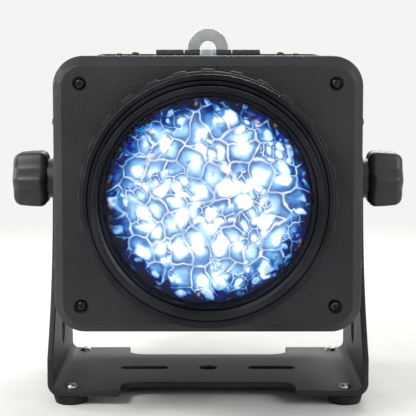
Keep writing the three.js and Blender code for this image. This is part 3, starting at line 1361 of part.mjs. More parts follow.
function socketFlange(width, height, x, z) {
  const outline = roundedRectangle(width / 2, height / 2, SOCKET_CORNER, SMALL_CORNER_STEPS, x, z);
  return plateY(outline, [], SOCKET_FACE, SOCKET_FLANGE);
}

function dataSocketBody(x) {
  return join(
    socketFlange(DATA_WIDTH, DATA_HEIGHT, x, DATA_Z),
    rodY(DATA_BARREL_RADIUS, SOCKET_FACE - DATA_BARREL_LENGTH, SOCKET_FACE + SOCKET_FLANGE / 2, x, DATA_Z),
  );
}

// Three round posts on a circle, which stand for the pins or their holes.
function dataPosts(radius, y0, y1, x) {
  return [0, Math.PI, Math.PI * 1.5].map((angle) => {
    const postX = x + DATA_PIN_CIRCLE * Math.cos(angle);
    const postZ = DATA_Z + DATA_PIN_CIRCLE * Math.sin(angle);
    return rodY(radius, y0, y1, postX, postZ, FINE_PIN_STEPS);
  });
}

function dataInSocket() {
  const face = SOCKET_FACE + SOCKET_FLANGE;
  const floor = face - DATA_CAVITY_DEPTH;
  const cavity = rodY(DATA_CAVITY_RADIUS, floor, face + OVERRUN, DATA_IN_X, DATA_Z);
  const pins = dataPosts(DATA_PIN_RADIUS, floor - OVERRUN, floor + DATA_PIN_LENGTH, DATA_IN_X);
  return join(cut(dataSocketBody(DATA_IN_X), cavity), ...pins);
}

const TAB_Z = DATA_Z + (DATA_CAVITY_RADIUS + DATA_HEIGHT / 2) / 2;
const TAB_FACE = SOCKET_FACE + SOCKET_FLANGE + LATCH_TAB_PROUD;

function latchTabRoom() {
  const halfWidth = LATCH_TAB_WIDTH / 2 + SEAT_GAP;
  const halfHeight = LATCH_TAB_HEIGHT / 2 + SEAT_GAP;
  const floor = TAB_FACE - LATCH_TAB_LENGTH - LATCH_TAB_TRAVEL - SEAT_GAP;
  return block(DATA_OUT_X - halfWidth, DATA_OUT_X + halfWidth, floor, TAB_FACE + OVERRUN,
    TAB_Z - halfHeight, TAB_Z + halfHeight);
}

function dataOutSocket() {
  const face = SOCKET_FACE + SOCKET_FLANGE;
  const floor = face - DATA_CAVITY_DEPTH;
  const groove = ring(DATA_CORE_RADIUS, DATA_CAVITY_RADIUS, floor, face + OVERRUN, ROD_STEPS)
    .translate(DATA_OUT_X, 0, DATA_Z);
  const holes = dataPosts(DATA_PIN_RADIUS + SEAT_GAP, floor, face + OVERRUN, DATA_OUT_X);
  return cut(dataSocketBody(DATA_OUT_X), groove, latchTabRoom(), ...holes);
}

function dataOutLatch() {
  return block(DATA_OUT_X - LATCH_TAB_WIDTH / 2, DATA_OUT_X + LATCH_TAB_WIDTH / 2,
    TAB_FACE - LATCH_TAB_LENGTH, TAB_FACE, TAB_Z - LATCH_TAB_HEIGHT / 2, TAB_Z + LATCH_TAB_HEIGHT / 2);
}

// The inlet's mouth is a rectangle with its two upper corners cut off.
function inletMouth() {
  const x = POWER_X + INLET_SHIFT;
  const halfWidth = INLET_WIDTH / 2;
  const halfHeight = INLET_HEIGHT / 2;
  return [
    new THREE.Vector2(x - halfWidth, POWER_Z - halfHeight),
    new THREE.Vector2(x + halfWidth, POWER_Z - halfHeight),
    new THREE.Vector2(x + halfWidth, POWER_Z + halfHeight - INLET_CHAMFER),
    new THREE.Vector2(x + halfWidth - INLET_CHAMFER, POWER_Z + halfHeight),
    new THREE.Vector2(x - halfWidth + INLET_CHAMFER, POWER_Z + halfHeight),
    new THREE.Vector2(x - halfWidth, POWER_Z + halfHeight - INLET_CHAMFER),
  ];
}

function powerInlet() {
  const face = SOCKET_FACE + SOCKET_FLANGE;
  const body = join(
    socketFlange(POWER_WIDTH, POWER_HEIGHT, POWER_X, POWER_Z),
    block(POWER_X - POWER_BODY_WIDTH / 2, POWER_X + POWER_BODY_WIDTH / 2, SOCKET_FACE - POWER_BODY_DEPTH,
      SOCKET_FACE + SOCKET_FLANGE / 2, POWER_Z - POWER_BODY_HEIGHT / 2, POWER_Z + POWER_BODY_HEIGHT / 2),
  );
  const mouth = plateY(inletMouth(), [], face - INLET_DEPTH, INLET_DEPTH + OVERRUN);
  const fuseX = POWER_X + FUSE_SHIFT;
  const fuseRoom = block(fuseX - FUSE_WIDTH / 2 - SEAT_GAP, fuseX + FUSE_WIDTH / 2 + SEAT_GAP,
    face - FUSE_DEPTH - SEAT_GAP, face + OVERRUN,
    POWER_Z - FUSE_HEIGHT / 2 - SEAT_GAP, POWER_Z + FUSE_HEIGHT / 2 + SEAT_GAP);
  const rockerX = POWER_X + ROCKER_SHIFT;
  const rockerRoom = block(rockerX - ROCKER_WIDTH / 2 - SEAT_GAP, rockerX + ROCKER_WIDTH / 2 + SEAT_GAP,
    face - ROCKER_DEPTH, face + OVERRUN,
    POWER_Z - ROCKER_HEIGHT / 2 - ROCKER_ROOM, POWER_Z + ROCKER_HEIGHT / 2 + ROCKER_ROOM);
  const pins = [-1, 0, 1].map((place) => {
    const x = POWER_X + INLET_SHIFT + place * INLET_PIN_SPREAD;
    const z = POWER_Z + (place === 0 ? INLET_PIN_RAISE : -INLET_PIN_RAISE);
    return block(x - INLET_PIN_WIDTH / 2, x + INLET_PIN_WIDTH / 2, face - INLET_DEPTH - OVERRUN,
      face - INLET_PIN_SETBACK, z - INLET_PIN_HEIGHT / 2, z + INLET_PIN_HEIGHT / 2);
  });
  return join(cut(body, mouth, fuseRoom, rockerRoom), ...pins);
}

function fuseDrawer() {
  const face = SOCKET_FACE + SOCKET_FLANGE;
  const x = POWER_X + FUSE_SHIFT;
  return block(x - FUSE_WIDTH / 2, x + FUSE_WIDTH / 2, face - FUSE_DEPTH, face + FUSE_LIP - SEAT_GAP,
    POWER_Z - FUSE_HEIGHT / 2, POWER_Z + FUSE_HEIGHT / 2);
}

// The rocker's two faces meet in a low ridge over its pivot, and it rests tipped to one side.
const ROCKER_PIVOT_Y = SOCKET_FACE + SOCKET_FLANGE - ROCKER_BODY / 2;

function powerRocker() {
  const half = ROCKER_HEIGHT / 2;
  const profile = [
    new THREE.Vector2(-ROCKER_BODY / 2, ROCKER_NECK - half),
    new THREE.Vector2(ROCKER_BODY / 2 - ROCKER_PEAK, -half),
    new THREE.Vector2(ROCKER_BODY / 2 + ROCKER_PEAK, 0),
    new THREE.Vector2(ROCKER_BODY / 2 - ROCKER_PEAK, half),
    new THREE.Vector2(-ROCKER_BODY / 2, half - ROCKER_NECK),
  ];
  return plateX(profile, [], POWER_X + ROCKER_SHIFT - ROCKER_WIDTH / 2, ROCKER_WIDTH)
    .rotateX(THREE.MathUtils.degToRad(ROCKER_TILT))
    .translate(0, ROCKER_PIVOT_Y, POWER_Z);
}

function addRearPanel() {
  addPiece("rear_panel", rearPanel(), powderCoat);
  addPiece("display_window", displayWindow(), displayAcrylic);
  addPiece("control_board", controlBoard(), circuitBoard);
  for (let i = 0; i < BUTTONS; i++) addPiece(`menu_button_${i + 1}`, pushButton(i), buttonPlastic);
  addPiece("data_in_socket", dataInSocket(), zincSteel);
  addPiece("data_out_socket", dataOutSocket(), zincSteel);
  addPiece("data_out_latch", dataOutLatch(), zincSteel);
  addPiece("power_inlet", powerInlet(), blackPlastic);
  addPiece("fuse_drawer", fuseDrawer(), blackPlastic);
  addPiece("power_rocker", powerRocker(), blackPlastic);
}

// Electronics: the power supply on the chassis floor and the driver board on its side wall

function powerSupply() {
  const floor = -HALF_HEIGHT + SHEET + SEAT_GAP;
  const rear = BULKHEAD_FRONT - SUPPLY_AIR;
  const middle = rear - SUPPLY_LENGTH / 2;
  const outline = roundedRectangle(
    SUPPLY_WIDTH / 2, SUPPLY_LENGTH / 2, SUPPLY_CORNER, SMALL_CORNER_STEPS, 0, middle,
  );
  return join(
    plateZ(outline, [], floor, SUPPLY_HEIGHT),
    block(-TERMINAL_WIDTH / 2, TERMINAL_WIDTH / 2, rear - SUPPLY_LENGTH - TERMINAL_LENGTH,
      rear - SUPPLY_LENGTH + OVERRUN, floor, floor + TERMINAL_HEIGHT),
  );
}

function driverBoard() {
  const wall = HALF_WIDTH - SHEET - SEAT_GAP;
  const back = wall - STANDOFF_RADIUS;
  const rear = PLATE_FRONT - DRIVER_AHEAD;
  const front = rear - DRIVER_LENGTH;
  const bottom = DRIVER_TOP - DRIVER_HEIGHT;
  const pieces = [block(back - BOARD_SHEET, back, front, rear, bottom, DRIVER_TOP)];
  const standoffShares = [[0.06, 0.08], [0.94, 0.08], [0.06, 0.92], [0.94, 0.92]];
  for (const [yShare, zShare] of standoffShares) {
    pieces.push(rodX(STANDOFF_RADIUS, back - BOARD_SHEET / 2, wall,
      front + DRIVER_LENGTH * yShare, bottom + DRIVER_HEIGHT * zShare, FINE_PIN_STEPS));
  }
  const partShares = [[0.25, 0.3, 1], [0.5, 0.6, 0.8], [0.75, 0.35, 0.6]];
  for (const [yShare, zShare, sizeShare] of partShares) {
    const y = front + DRIVER_LENGTH * yShare;
    const z = bottom + DRIVER_HEIGHT * zShare;
    const half = DRIVER_PART * sizeShare;
    const face = back - BOARD_SHEET;
    pieces.push(block(face - half, face + BOARD_SHEET / 2, y - half, y + half, z - half, z + half));
  }
  return join(...pieces);
}

function addElectronics() {
  addPiece("power_supply", powerSupply(), millAluminium);
  addPiece("driver_board", driverBoard(), circuitBoard);
}

addYoke();
addHousing();
addBarrel();
addEffectModule();
addLightEngine();
addRearPanel();
addElectronics();

export default projector;
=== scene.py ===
# Looks of the water wave effect light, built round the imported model.
# Lengths are millimetres in this file, measured from the point where the tilt axis crosses the lens axis.
# Each mesh is turned to metres and set in its place as it is made.
# -Y is the lens end, +X is to the right seen from the front, and +Z is up.
import math
from functools import partial

import bmesh
import bpy
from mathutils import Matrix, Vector
from mathutils.geometry import delaunay_2d_cdt


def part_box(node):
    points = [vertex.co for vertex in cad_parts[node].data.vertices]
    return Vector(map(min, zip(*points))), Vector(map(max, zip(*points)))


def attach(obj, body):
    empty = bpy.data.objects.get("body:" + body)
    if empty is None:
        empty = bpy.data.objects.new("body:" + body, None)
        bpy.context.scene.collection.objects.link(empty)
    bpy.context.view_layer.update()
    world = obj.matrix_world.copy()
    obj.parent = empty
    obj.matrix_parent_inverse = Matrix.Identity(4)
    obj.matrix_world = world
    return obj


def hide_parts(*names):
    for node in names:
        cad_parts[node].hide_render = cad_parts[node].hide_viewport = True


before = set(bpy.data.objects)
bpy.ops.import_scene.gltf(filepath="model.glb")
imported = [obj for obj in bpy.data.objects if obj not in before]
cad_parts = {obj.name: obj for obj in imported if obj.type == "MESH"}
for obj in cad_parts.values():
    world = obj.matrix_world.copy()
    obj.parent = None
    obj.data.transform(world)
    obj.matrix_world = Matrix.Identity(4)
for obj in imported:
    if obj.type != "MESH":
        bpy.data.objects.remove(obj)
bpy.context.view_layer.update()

MM = 0.001
TURN = 2 * math.pi
scene = bpy.context.scene
scene.view_settings.view_transform = "Standard"


def placed(name, data):
    """A new object in the scene."""
    made = bpy.data.objects.new(name, data)
    scene.collection.objects.link(made)
    return made


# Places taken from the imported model


def box_of(name):
    """A node's reach along X, Y and Z in the frame."""
    low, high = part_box(name)
    return [(low[i] / MM, high[i] / MM) for i in range(3)]


def middle(pair):
    return (pair[0] + pair[1]) / 2


PIVOT_Y = middle(box_of("lock_knob_right")[1])
AXIS_Z = middle(box_of("lens_tube")[2])
ABOUT_PIVOT = Vector((0, PIVOT_Y, AXIS_Z))


def span(name):
    """A node's reach along X, Y and Z, measured from the tilt axis."""
    return [(low - ABOUT_PIVOT[i], high - ABOUT_PIVOT[i]) for i, (low, high) in enumerate(box_of(name))]


def centre_of(name):
    """The middle of a node along X and Z."""
    x, _, z = span(name)
    return middle(x), middle(z)


# Camera: almost level and head-on, with the lens where the photograph has its patch of light

IMAGE_SIZE = 416
LENS_PIXEL_Y = 204
CAMERA_AWAY = 900
CAMERA_RISE = 6.0
CAMERA_LENS = 130.0


def add_camera():
    data = bpy.data.cameras.new("camera")
    data.sensor_width = 36
    data.lens = CAMERA_LENS
    data.clip_start = 0.01
    camera = placed("camera", data)
    rise = math.radians(CAMERA_RISE)
    away = Vector((0, -math.cos(rise), math.sin(rise))) * CAMERA_AWAY
    lens_front = ABOUT_PIVOT + Vector((0, span("lens_tube")[1][0], 0))
    camera.location = (lens_front + away) * MM
    pixel_angle = data.sensor_width / CAMERA_LENS / IMAGE_SIZE
    camera.rotation_euler = (math.radians(90) - rise - (IMAGE_SIZE / 2 - LENS_PIXEL_Y) * pixel_angle, 0, 0)
    scene.camera = camera


add_camera()


# Nodes, colours and materials

# The kinds of node used most
NOISE = "ShaderNodeTexNoise"
VORONOI = "ShaderNodeTexVoronoi"
RAMP = "ShaderNodeValToRGB"
RANGE = "ShaderNodeMapRange"
MIX = "ShaderNodeMix"
MATH = "ShaderNodeMath"
VECTOR_MATH = "ShaderNodeVectorMath"
BUMP = "ShaderNodeBump"


def colour(code):
    """An sRGB hex colour as linear red, green, blue and alpha."""
    parts = [int(code[i:i + 2], 16) / 255 for i in (1, 3, 5)]
    return (*[c / 12.92 if c <= 0.04045 else ((c + 0.055) / 1.055) ** 2.4 for c in parts], 1.0)


def taken(value):
    """A value as a socket takes it, with a hex colour turned to linear."""
    return colour(value) if isinstance(value, str) and value.startswith("#") else value


def join(tree, source, socket):
    """Join a node's first output, or the output itself where one is given, to a socket."""
    tree.links.new(source.outputs[0] if hasattr(source, "outputs") else source, socket)


def node(tree, kind, settings=None, links=None):
    """Add a node, set its properties, input values and colour stops, and join its inputs to other nodes."""
    made = tree.nodes.new(kind)
    for key, value in (settings or {}).items():
        if key == "stops":
            elements = made.color_ramp.elements
            while len(elements) < len(value):
                elements.new(0.5)
            for element, (position, shade) in zip(elements, value):
                element.position = position
                element.color = taken(shade)
        elif isinstance(key, str) and hasattr(made, key):
            setattr(made, key, value)
        else:
            made.inputs[key].default_value = taken(value)
    for key, source in (links or {}).items():
        join(tree, source, made.inputs[key])
    return made


def per_mm(size):
    """The texture scale that gives a grain of that many millimetres."""
    return 1 / (size * MM)


def material(name, constants, surface):
    """A material with its shader's constants and the inputs that surface() makes."""
    made = bpy.data.materials.new(name)
    made.use_nodes = True
    tree = made.node_tree
    shader = tree.nodes["Principled BSDF"]
    for key, value in constants.items():
        shader.inputs[key].default_value = taken(value)
    add = partial(node, tree)
    place = add("ShaderNodeTexCoord").outputs["Object"]
    for key, source in surface(add, place).items():
        join(tree, source, shader.inputs[key])
    return made


def looks(add, tone=None, dull=None, relief=None):
    """Shader inputs from textures: a colour by stops, a roughness from low to high, bumps by strength and depth."""
    made = {}
    if tone:
        made["Base Color"] = add(RAMP, {"stops": tone[1:]}, {"Fac": tone[0]})
    if dull:
        made["Roughness"] = add(RANGE, {"To Min": dull[1], "To Max": dull[2]}, {"Value": dull[0]})
    if relief:
        made["Normal"] = add(BUMP, {"Strength": relief[1], "Distance": relief[2] * MM}, {"Height": relief[0]})
    return made


def from_axis(add, place):
    """Places in millimetres from the lens axis, sideways and up."""
    parts = add("ShaderNodeSeparateXYZ", {}, {"Vector": place})
    up = add(MATH, {"operation": "SUBTRACT", 1: AXIS_Z * MM}, {0: parts.outputs["Z"]})
    across = add("ShaderNodeCombineXYZ", {}, {"X": parts.outputs["X"], "Y": up})
    return add(VECTOR_MATH, {"operation": "SCALE", "Scale": 1 / MM}, {0: across})


# Powder coat on bent sheet steel: a fine pebbled skin that breaks up the light, rubbed grey at the edges.
# Its pebbles are 0.3 mm on the real one and are drawn at 1.3 mm so that they show.
def powder_coat(add, place, low="#101113", high="#1A1C1F", worn="#5C5F63"):
    pebbles = add(NOISE, {"Scale": per_mm(1.3), "Detail": 3.0}, {"Vector": place})
    patches = add(NOISE, {"Scale": per_mm(45), "Detail": 5.0}, {"Vector": place})
    coat = add(RAMP, {"stops": [(0.35, low), (0.7, high)]}, {"Fac": patches})
    rounded = add("ShaderNodeBevel", {"samples": 4, "Radius": 0.9 * MM})
    flat_normal = add("ShaderNodeNewGeometry").outputs["Normal"]
    facing = add(VECTOR_MATH, {"operation": "DOT_PRODUCT"}, {0: rounded, 1: flat_normal})
    edge = add(RANGE, {"From Min": 0.995, "From Max": 0.9}, {"Value": facing.outputs["Value"]})
    rub = add(NOISE, {"Scale": per_mm(14), "Detail": 6.0, "Roughness": 0.7}, {"Vector": place})
    rubbed = add(RANGE, {"From Min": 0.54, "From Max": 0.76, "To Max": 0.7}, {"Value": rub})
    wear = add(MATH, {"operation": "MULTIPLY"}, {0: edge, 1: rubbed})
    shade = add(MIX, {"data_type": "RGBA", 7: worn}, {0: wear, 6: coat}).outputs[2]
    return {"Base Color": shade, **looks(add, dull=(pebbles, 0.44, 0.64), relief=(pebbles, 0.6, 0.15))}


# Wrinkle paint on cast aluminium: deeper wrinkles than powder coat, with a soft sheen, drawn at 2 mm for 1 mm.
def wrinkle_paint(add, place):
    shades = powder_coat(add, place, "#141518", "#1F2125", "#6E7176")
    wrinkles = add(VORONOI, {"feature": "SMOOTH_F1", "Scale": per_mm(2), "Smoothness": 0.6}, {"Vector": place})
    return {**shades, **looks(add, dull=(wrinkles, 0.38, 0.56), relief=(wrinkles, 0.7, 0.25))}


# Powder coat on the thick yoke plate, scuffed by clamps, cases and floors.
def scuffed_coat(add, place):
    shades = powder_coat(add, place, "#0F1012", "#191A1D", "#777A7E")
    drawn = add("ShaderNodeMapping", {"Scale": (1.0, 0.12, 1.0), "Rotation": (0.3, 0.2, 0.6)}, {"Vector": place})
    streaks = add(NOISE, {"Scale": per_mm(2.2), "Detail": 7.0, "Roughness": 0.75}, {"Vector": drawn})
    scratch = add(RANGE, {"From Min": 0.6, "From Max": 0.74, "To Max": 0.55}, {"Value": streaks})
    shade = add(MIX, {"data_type": "RGBA", 7: "#3F4145"}, {0: scratch, 6: shades["Base Color"]}).outputs[2]
    return {**shades, "Base Color": shade}


# Black anodised aluminium turned on a lathe: fine rings round the lens axis that stretch the highlights.
# The tool leaves rings 0.1 mm apart, and they are drawn at 0.4 mm.
def turned_anodised(add, place):
    radius = add(VECTOR_MATH, {"operation": "LENGTH"}, {0: from_axis(add, place)})
    along = add("ShaderNodeSeparateXYZ", {}, {"Vector": place}).outputs["Y"]
    along = add(MATH, {"operation": "MULTIPLY", 1: 1 / MM}, {0: along})
    profile = add("ShaderNodeCombineXYZ", {}, {"X": radius.outputs["Value"], "Y": along})
    rings = add(NOISE, {"noise_dimensions": "2D", "Scale": 2.5, "Detail": 2.0}, {"Vector": profile})
    patches = add(NOISE, {"Scale": per_mm(30), "Detail": 3.0}, {"Vector": place})
    return looks(add, (patches, (0.3, "#1B1C20"), (0.75, "#2C2E34")), (rings, 0.24, 0.42), (rings, 0.35, 0.02))


# Black anodised extrusion: the die draws fine lines along its length.
def extruded_anodised(add, place):
    drawn = add("ShaderNodeMapping", {"Scale": (1.0, 1.0, 0.02)}, {"Vector": place})
    lines = add(NOISE, {"Scale": per_mm(0.5), "Detail": 3.0}, {"Vector": drawn})
    return looks(add, (lines, (0.3, "#17181B"), (0.8, "#2B2D31")), (lines, 0.3, 0.48))


# Bare milled aluminium: pale grey with brushed lines and dull handling marks.
def milled_aluminium(add, place):
    drawn = add("ShaderNodeMapping", {"Scale": (0.03, 1.0, 1.0)}, {"Vector": place})
    lines = add(NOISE, {"Scale": per_mm(0.4), "Detail": 4.0}, {"Vector": drawn})
    marks = add(NOISE, {"Scale": per_mm(18), "Detail": 4.0}, {"Vector": place})
    return looks(add, (lines, (0.25, "#A6A9AD"), (0.8, "#C9CCCF")), (marks, 0.26, 0.44))


# Bright zinc plate on steel: faint crystals, and a film that turns blue and straw in patches.
def zinc_plate(add, place):
    crystals = add(VORONOI, {"Scale": per_mm(1.6)}, {"Vector": place})
    film = add(NOISE, {"Scale": per_mm(9), "Detail": 3.0}, {"Vector": place})
    dull = add(RANGE, {"To Min": 0.3, "To Max": 0.39, "From Max": 0.8}, {"Value": crystals})
    return {**looks(add, (film, (0.3, "#A3ABB4"), (0.5, "#B4B6B8"), (0.72, "#BDB7A6"))), "Roughness": dull}


# Bright nickel plate on drawn wire and connector shells: almost a mirror, with soft handling smears.
def nickel_plate(add, place):
    smears = add(NOISE, {"Scale": per_mm(7), "Detail": 5.0}, {"Vector": place})
    return looks(add, (smears, (0.3, "#B9B7B0"), (0.75, "#D3D1CA")), (smears, 0.14, 0.32))


# Hard gold on contact pins: warm and bright, with tiny wear lines from the plug.
def gold_plate(add, place):
    wear = add(NOISE, {"Scale": per_mm(1.5), "Detail": 3.0}, {"Vector": place})
    return looks(add, (wear, (0.3, "#C79B4E"), (0.75, "#E2BD73")))


# Black oxide on screws: dark oily metal, with steel showing where the key has worn it.
def black_oxide(add, place):
    oil = add(NOISE, {"Scale": per_mm(2.5), "Detail": 4.0}, {"Vector": place})
    return looks(add, (oil, (0.35, "#1F2023"), (0.62, "#303236"), (0.8, "#6B6E72")), (oil, 0.24, 0.42))


# Moulded black ABS: a spark-eroded grain of 0.2 mm, drawn at 0.5 mm, shinier where fingers polish it.
def moulded_plastic(add, place, low="#151516", high="#212224"):
    sparks = add(NOISE, {"Scale": per_mm(0.5), "Detail": 2.0}, {"Vector": place})
    touch = add(NOISE, {"Scale": per_mm(11), "Detail": 4.0}, {"Vector": place})
    return looks(add, (touch, (0.3, low), (0.75, high)), (touch, 0.34, 0.58), (sparks, 0.45, 0.04))


# Moulded grey silicone of the menu buttons: smoother and paler than the housings.
def button_silicone(add, place):
    return moulded_plastic(add, place, "#3B3D41", "#4B4E53")


# Moulded rubber: dead matt, with pale dust in its pores.
def moulded_rubber(add, place):
    pores = add(NOISE, {"Scale": per_mm(0.7), "Detail": 3.0}, {"Vector": place})
    dust = add(NOISE, {"Scale": per_mm(13), "Detail": 7.0, "Roughness": 0.7}, {"Vector": place})
    return looks(add, (dust, (0.4, "#121212"), (0.8, "#272727")), (pores, 0.7, 0.9), (pores, 0.5, 0.05))


# Moulded acetal: milky white and waxy, with gear grease darkening it in patches.
def moulded_acetal(add, place):
    grease = add(NOISE, {"Scale": per_mm(12), "Detail": 4.0}, {"Vector": place})
    return looks(add, (grease, (0.3, "#D8D5C8"), (0.7, "#EBE9E0")), (grease, 0.28, 0.5))


# Vulcanised fibre: dark red-brown card with short fibres pressed into its face.
def vulcanised_fibre(add, place):
    fibres = add(NOISE, {"Scale": per_mm(1.2), "Detail": 6.0, "Distortion": 1.5}, {"Vector": place})
    return looks(add, (fibres, (0.35, "#2E1A15"), (0.7, "#4B2B22")), relief=(fibres, 0.4, 0.03))


# Polished crown glass: perfectly smooth, with the faintest film of dust so that its face can be seen.
# Its coating cuts the reflections down to a dim blue violet.
def polished_glass(add, place):
    dust = add(NOISE, {"Scale": per_mm(6), "Detail": 9.0, "Roughness": 0.8}, {"Vector": place})
    return {"Roughness": add(RANGE, {"From Min": 0.5, "To Max": 0.04}, {"Value": dust})}


# Pressed rippled glass: fine dimples on top of the disc's swell, which bend light into moving nets.
def rippled_glass(add, place):
    dimples = add(VORONOI, {"feature": "SMOOTH_F1", "Scale": per_mm(5), "Smoothness": 1.0}, {"Vector": place})
    return looks(add, relief=(dimples, 0.7, 0.5))


# Smoked acrylic: a glossy dark window with fine wipe marks.
def smoked_acrylic(add, place):
    wiped = add("ShaderNodeMapping", {"Scale": (0.05, 1.0, 1.0)}, {"Vector": place})
    wipes = add(NOISE, {"Scale": per_mm(0.8), "Detail": 4.0}, {"Vector": wiped})
    return {"Roughness": add(RANGE, {"From Min": 0.45, "To Min": 0.02, "To Max": 0.12}, {"Value": wipes})}


# Solder mask on a circuit board: green lacquer, with copper tracks showing through as lighter lines.
def solder_mask(add, place):
    tracks = add(VORONOI, {"feature": "DISTANCE_TO_EDGE", "distance": "MANHATTAN",
                 "Scale": per_mm(5)}, {"Vector": place})
    return looks(add, (tracks, (0.04, "#2F7B4A"), (0.07, "#174B2C")))


# White screen print, thin enough for a little of the black under it to show.
def white_print(add, place):
    cover = add(NOISE, {"Scale": per_mm(0.9), "Detail": 4.0}, {"Vector": place})
    return looks(add, (cover, (0.3, "#AFAFAC"), (0.55, "#DEDEDA")))


# Lit segments of the display: pale blue light through a diffuser, a little brighter in the middle.
def lit_segments(add, place):
    glow = add(NOISE, {"Scale": per_mm(3), "Detail": 2.0}, {"Vector": place})
    return {"Emission Color": add(RAMP, {"stops": [(0.3, "#8FC4FF"), (0.7, "#D8ECFF")]}, {"Fac": glow})}


# Painted light: projected water ripples as they are seen in the lit lens, drawn as a glow on a disc that is no lamp
# and stands in for the lamp's light through the rippled glass. Bright pools in curved cells, and thin white nets of
# light between them with a painted darker fringe beside each line. The rim is ragged where the pools run out and the
# lines break up, and it is blue on its outside because blue light is bent the least.
# Places here are in millimetres from the lens axis, so a scale of 1 / 8 gives features of 8 mm.
PATCH_RADIUS = 62.2


def water_light(add, place):
    spot = from_axis(add, place)
    radius = add(VECTOR_MATH, {"operation": "LENGTH"}, {0: spot}).outputs["Value"]
    # The net is bent by a broad swirl and by a finer one
    warped = spot
    for size, reach in ((25, 15.0), (8, 4.0)):
        swirl = add(NOISE, {"Scale": 1 / size, "Detail": 1.0}, {"Vector": spot}).outputs["Color"]
        swirl = add(VECTOR_MATH, {"operation": "SUBTRACT", 1: (0.5, 0.5, 0.5)}, {0: swirl})
        swirl = add(VECTOR_MATH, {"operation": "SCALE", "Scale": reach}, {0: swirl})
        warped = add(VECTOR_MATH, {"operation": "ADD"}, {0: warped, 1: swirl})
    # Pools are lopsided, and larger towards the middle
    drift = add(NOISE, {"Scale": 1 / 10, "Detail": 2.0}, {"Vector": spot})
    lean = add(RANGE, {"To Min": -0.3, "To Max": 0.3}, {"Value": drift})
    near_middle = add(RANGE, {"From Min": 58.0, "From Max": 14.0, "To Min": -0.1, "To Max": 0.1}, {"Value": radius})
    # Lines are stronger in some places than in others, and only some have a painted dark fringe
    strength = add(NOISE, {"Scale": 1 / 9, "Detail": 2.0}, {"Vector": warped})
    strength = add(RANGE, {"From Min": 0.35, "From Max": 0.6, "To Min": 0.3, "To Max": 0.9}, {"Value": strength})
    fringed = add(NOISE, {"Scale": 1 / 8, "Detail": 2.0, "Distortion": 0.5}, {"Vector": warped})
    fringed = add(RANGE, {"From Min": 0.4, "From Max": 0.56}, {"Value": fringed})
    # Two nets, of large and of small cells, each with its colours, its cells' distance out and its crests
    layers = []
    for size, seed in ((12.2, 0.0), (6.4, 40.0)):
        moved = add(VECTOR_MATH, {"operation": "ADD", 1: (seed, seed, 0)}, {0: warped})
        cells = add(VORONOI, {"voronoi_dimensions": "2D", "Scale": 1 / size}, {"Vector": moved})
        edges = add(VORONOI, {"voronoi_dimensions": "2D", "feature": "DISTANCE_TO_EDGE",
                    "Scale": 1 / size}, {"Vector": moved})
        chances = add("ShaderNodeSeparateColor", {}, {"Color": cells.outputs["Color"]})
        away = add(MATH, {"operation": "ADD"}, {0: cells.outputs["Distance"], 1: lean})
        pool = add(RANGE, {"From Min": 0.1, "To Min": 0.06, "To Max": 0.52}, {"Value": chances.outputs[0]})
        pool = add(MATH, {"operation": "ADD"}, {0: pool, 1: near_middle})
        inside = add(MATH, {"operation": "SUBTRACT"}, {0: pool, 1: away})
        pool = add(RANGE, {"interpolation_type": "SMOOTHSTEP", "From Min": -0.12, "From Max": 0.09},
                   {"Value": inside})
        body = add(RAMP, {"stops": [(0.05, "#D6ECFF"), (0.3, "#BBE0FC"),
                   (0.44, "#95C2EF"), (0.6, "#6A91C2")]}, {"Fac": away})
        fringe = add(RAMP, {"stops": [(0.03, "#FFFFFF"), (0.07, "#AFA8A6"),
                     (0.13, "#C8C6CA"), (0.26, "#FFFFFF")]}, {"Fac": edges})
        body = add(MIX, {"data_type": "RGBA", "blend_type": "MULTIPLY"}, {0: fringed, 6: body, 7: fringe}).outputs[2]
        line = add(RAMP, {"stops": [(0.0, (1, 1, 1, 1)), (0.03, (0.7, 0.7, 0.7, 1)),
                   (0.055, (0.12, 0.12, 0.12, 1)), (0.085, (0, 0, 0, 1))]}, {"Fac": edges})
        line = add(MATH, {"operation": "MULTIPLY"}, {0: line, 1: strength})
        crest = add(MATH, {"operation": "MAXIMUM"}, {0: line, 1: pool})
        shade = add(MIX, {"data_type": "RGBA", 7: "#F1F9FF"}, {0: crest, 6: body}).outputs[2]
        blended = add(VORONOI, {"voronoi_dimensions": "2D", "feature": "SMOOTH_F1", "Scale": 1 / size,
                      "Smoothness": 1.0}, {"Vector": moved})
        home = add(VECTOR_MATH, {"operation": "SUBTRACT", 1: (seed, seed, 0)}, {0: blended.outputs["Position"]})
        home = add(VECTOR_MATH, {"operation": "LENGTH"}, {0: home}).outputs["Value"]
        chances = add("ShaderNodeSeparateColor", {}, {"Color": blended.outputs["Color"]})
        luck = add(RANGE, {"To Min": -12.0, "To Max": 12.0}, {"Value": chances.outputs[1]})
        home = add(MATH, {"operation": "ADD"}, {0: home, 1: luck})
        layers.append((shade, home, crest))
    (wide, wide_home, wide_crest), (small, small_home, small_crest) = layers
    # One net or the other, in patches
    choice = add(NOISE, {"Scale": 1 / 19, "Detail": 1.0}, {"Vector": spot})
    choice = add(RANGE, {"From Min": 0.53, "From Max": 0.57}, {"Value": choice})
    shade = add(MIX, {"data_type": "RGBA"}, {0: choice, 6: wide, 7: small}).outputs[2]
    home = add(MIX, {"data_type": "FLOAT"}, {0: choice, 2: wide_home, 3: small_home}).outputs[0]
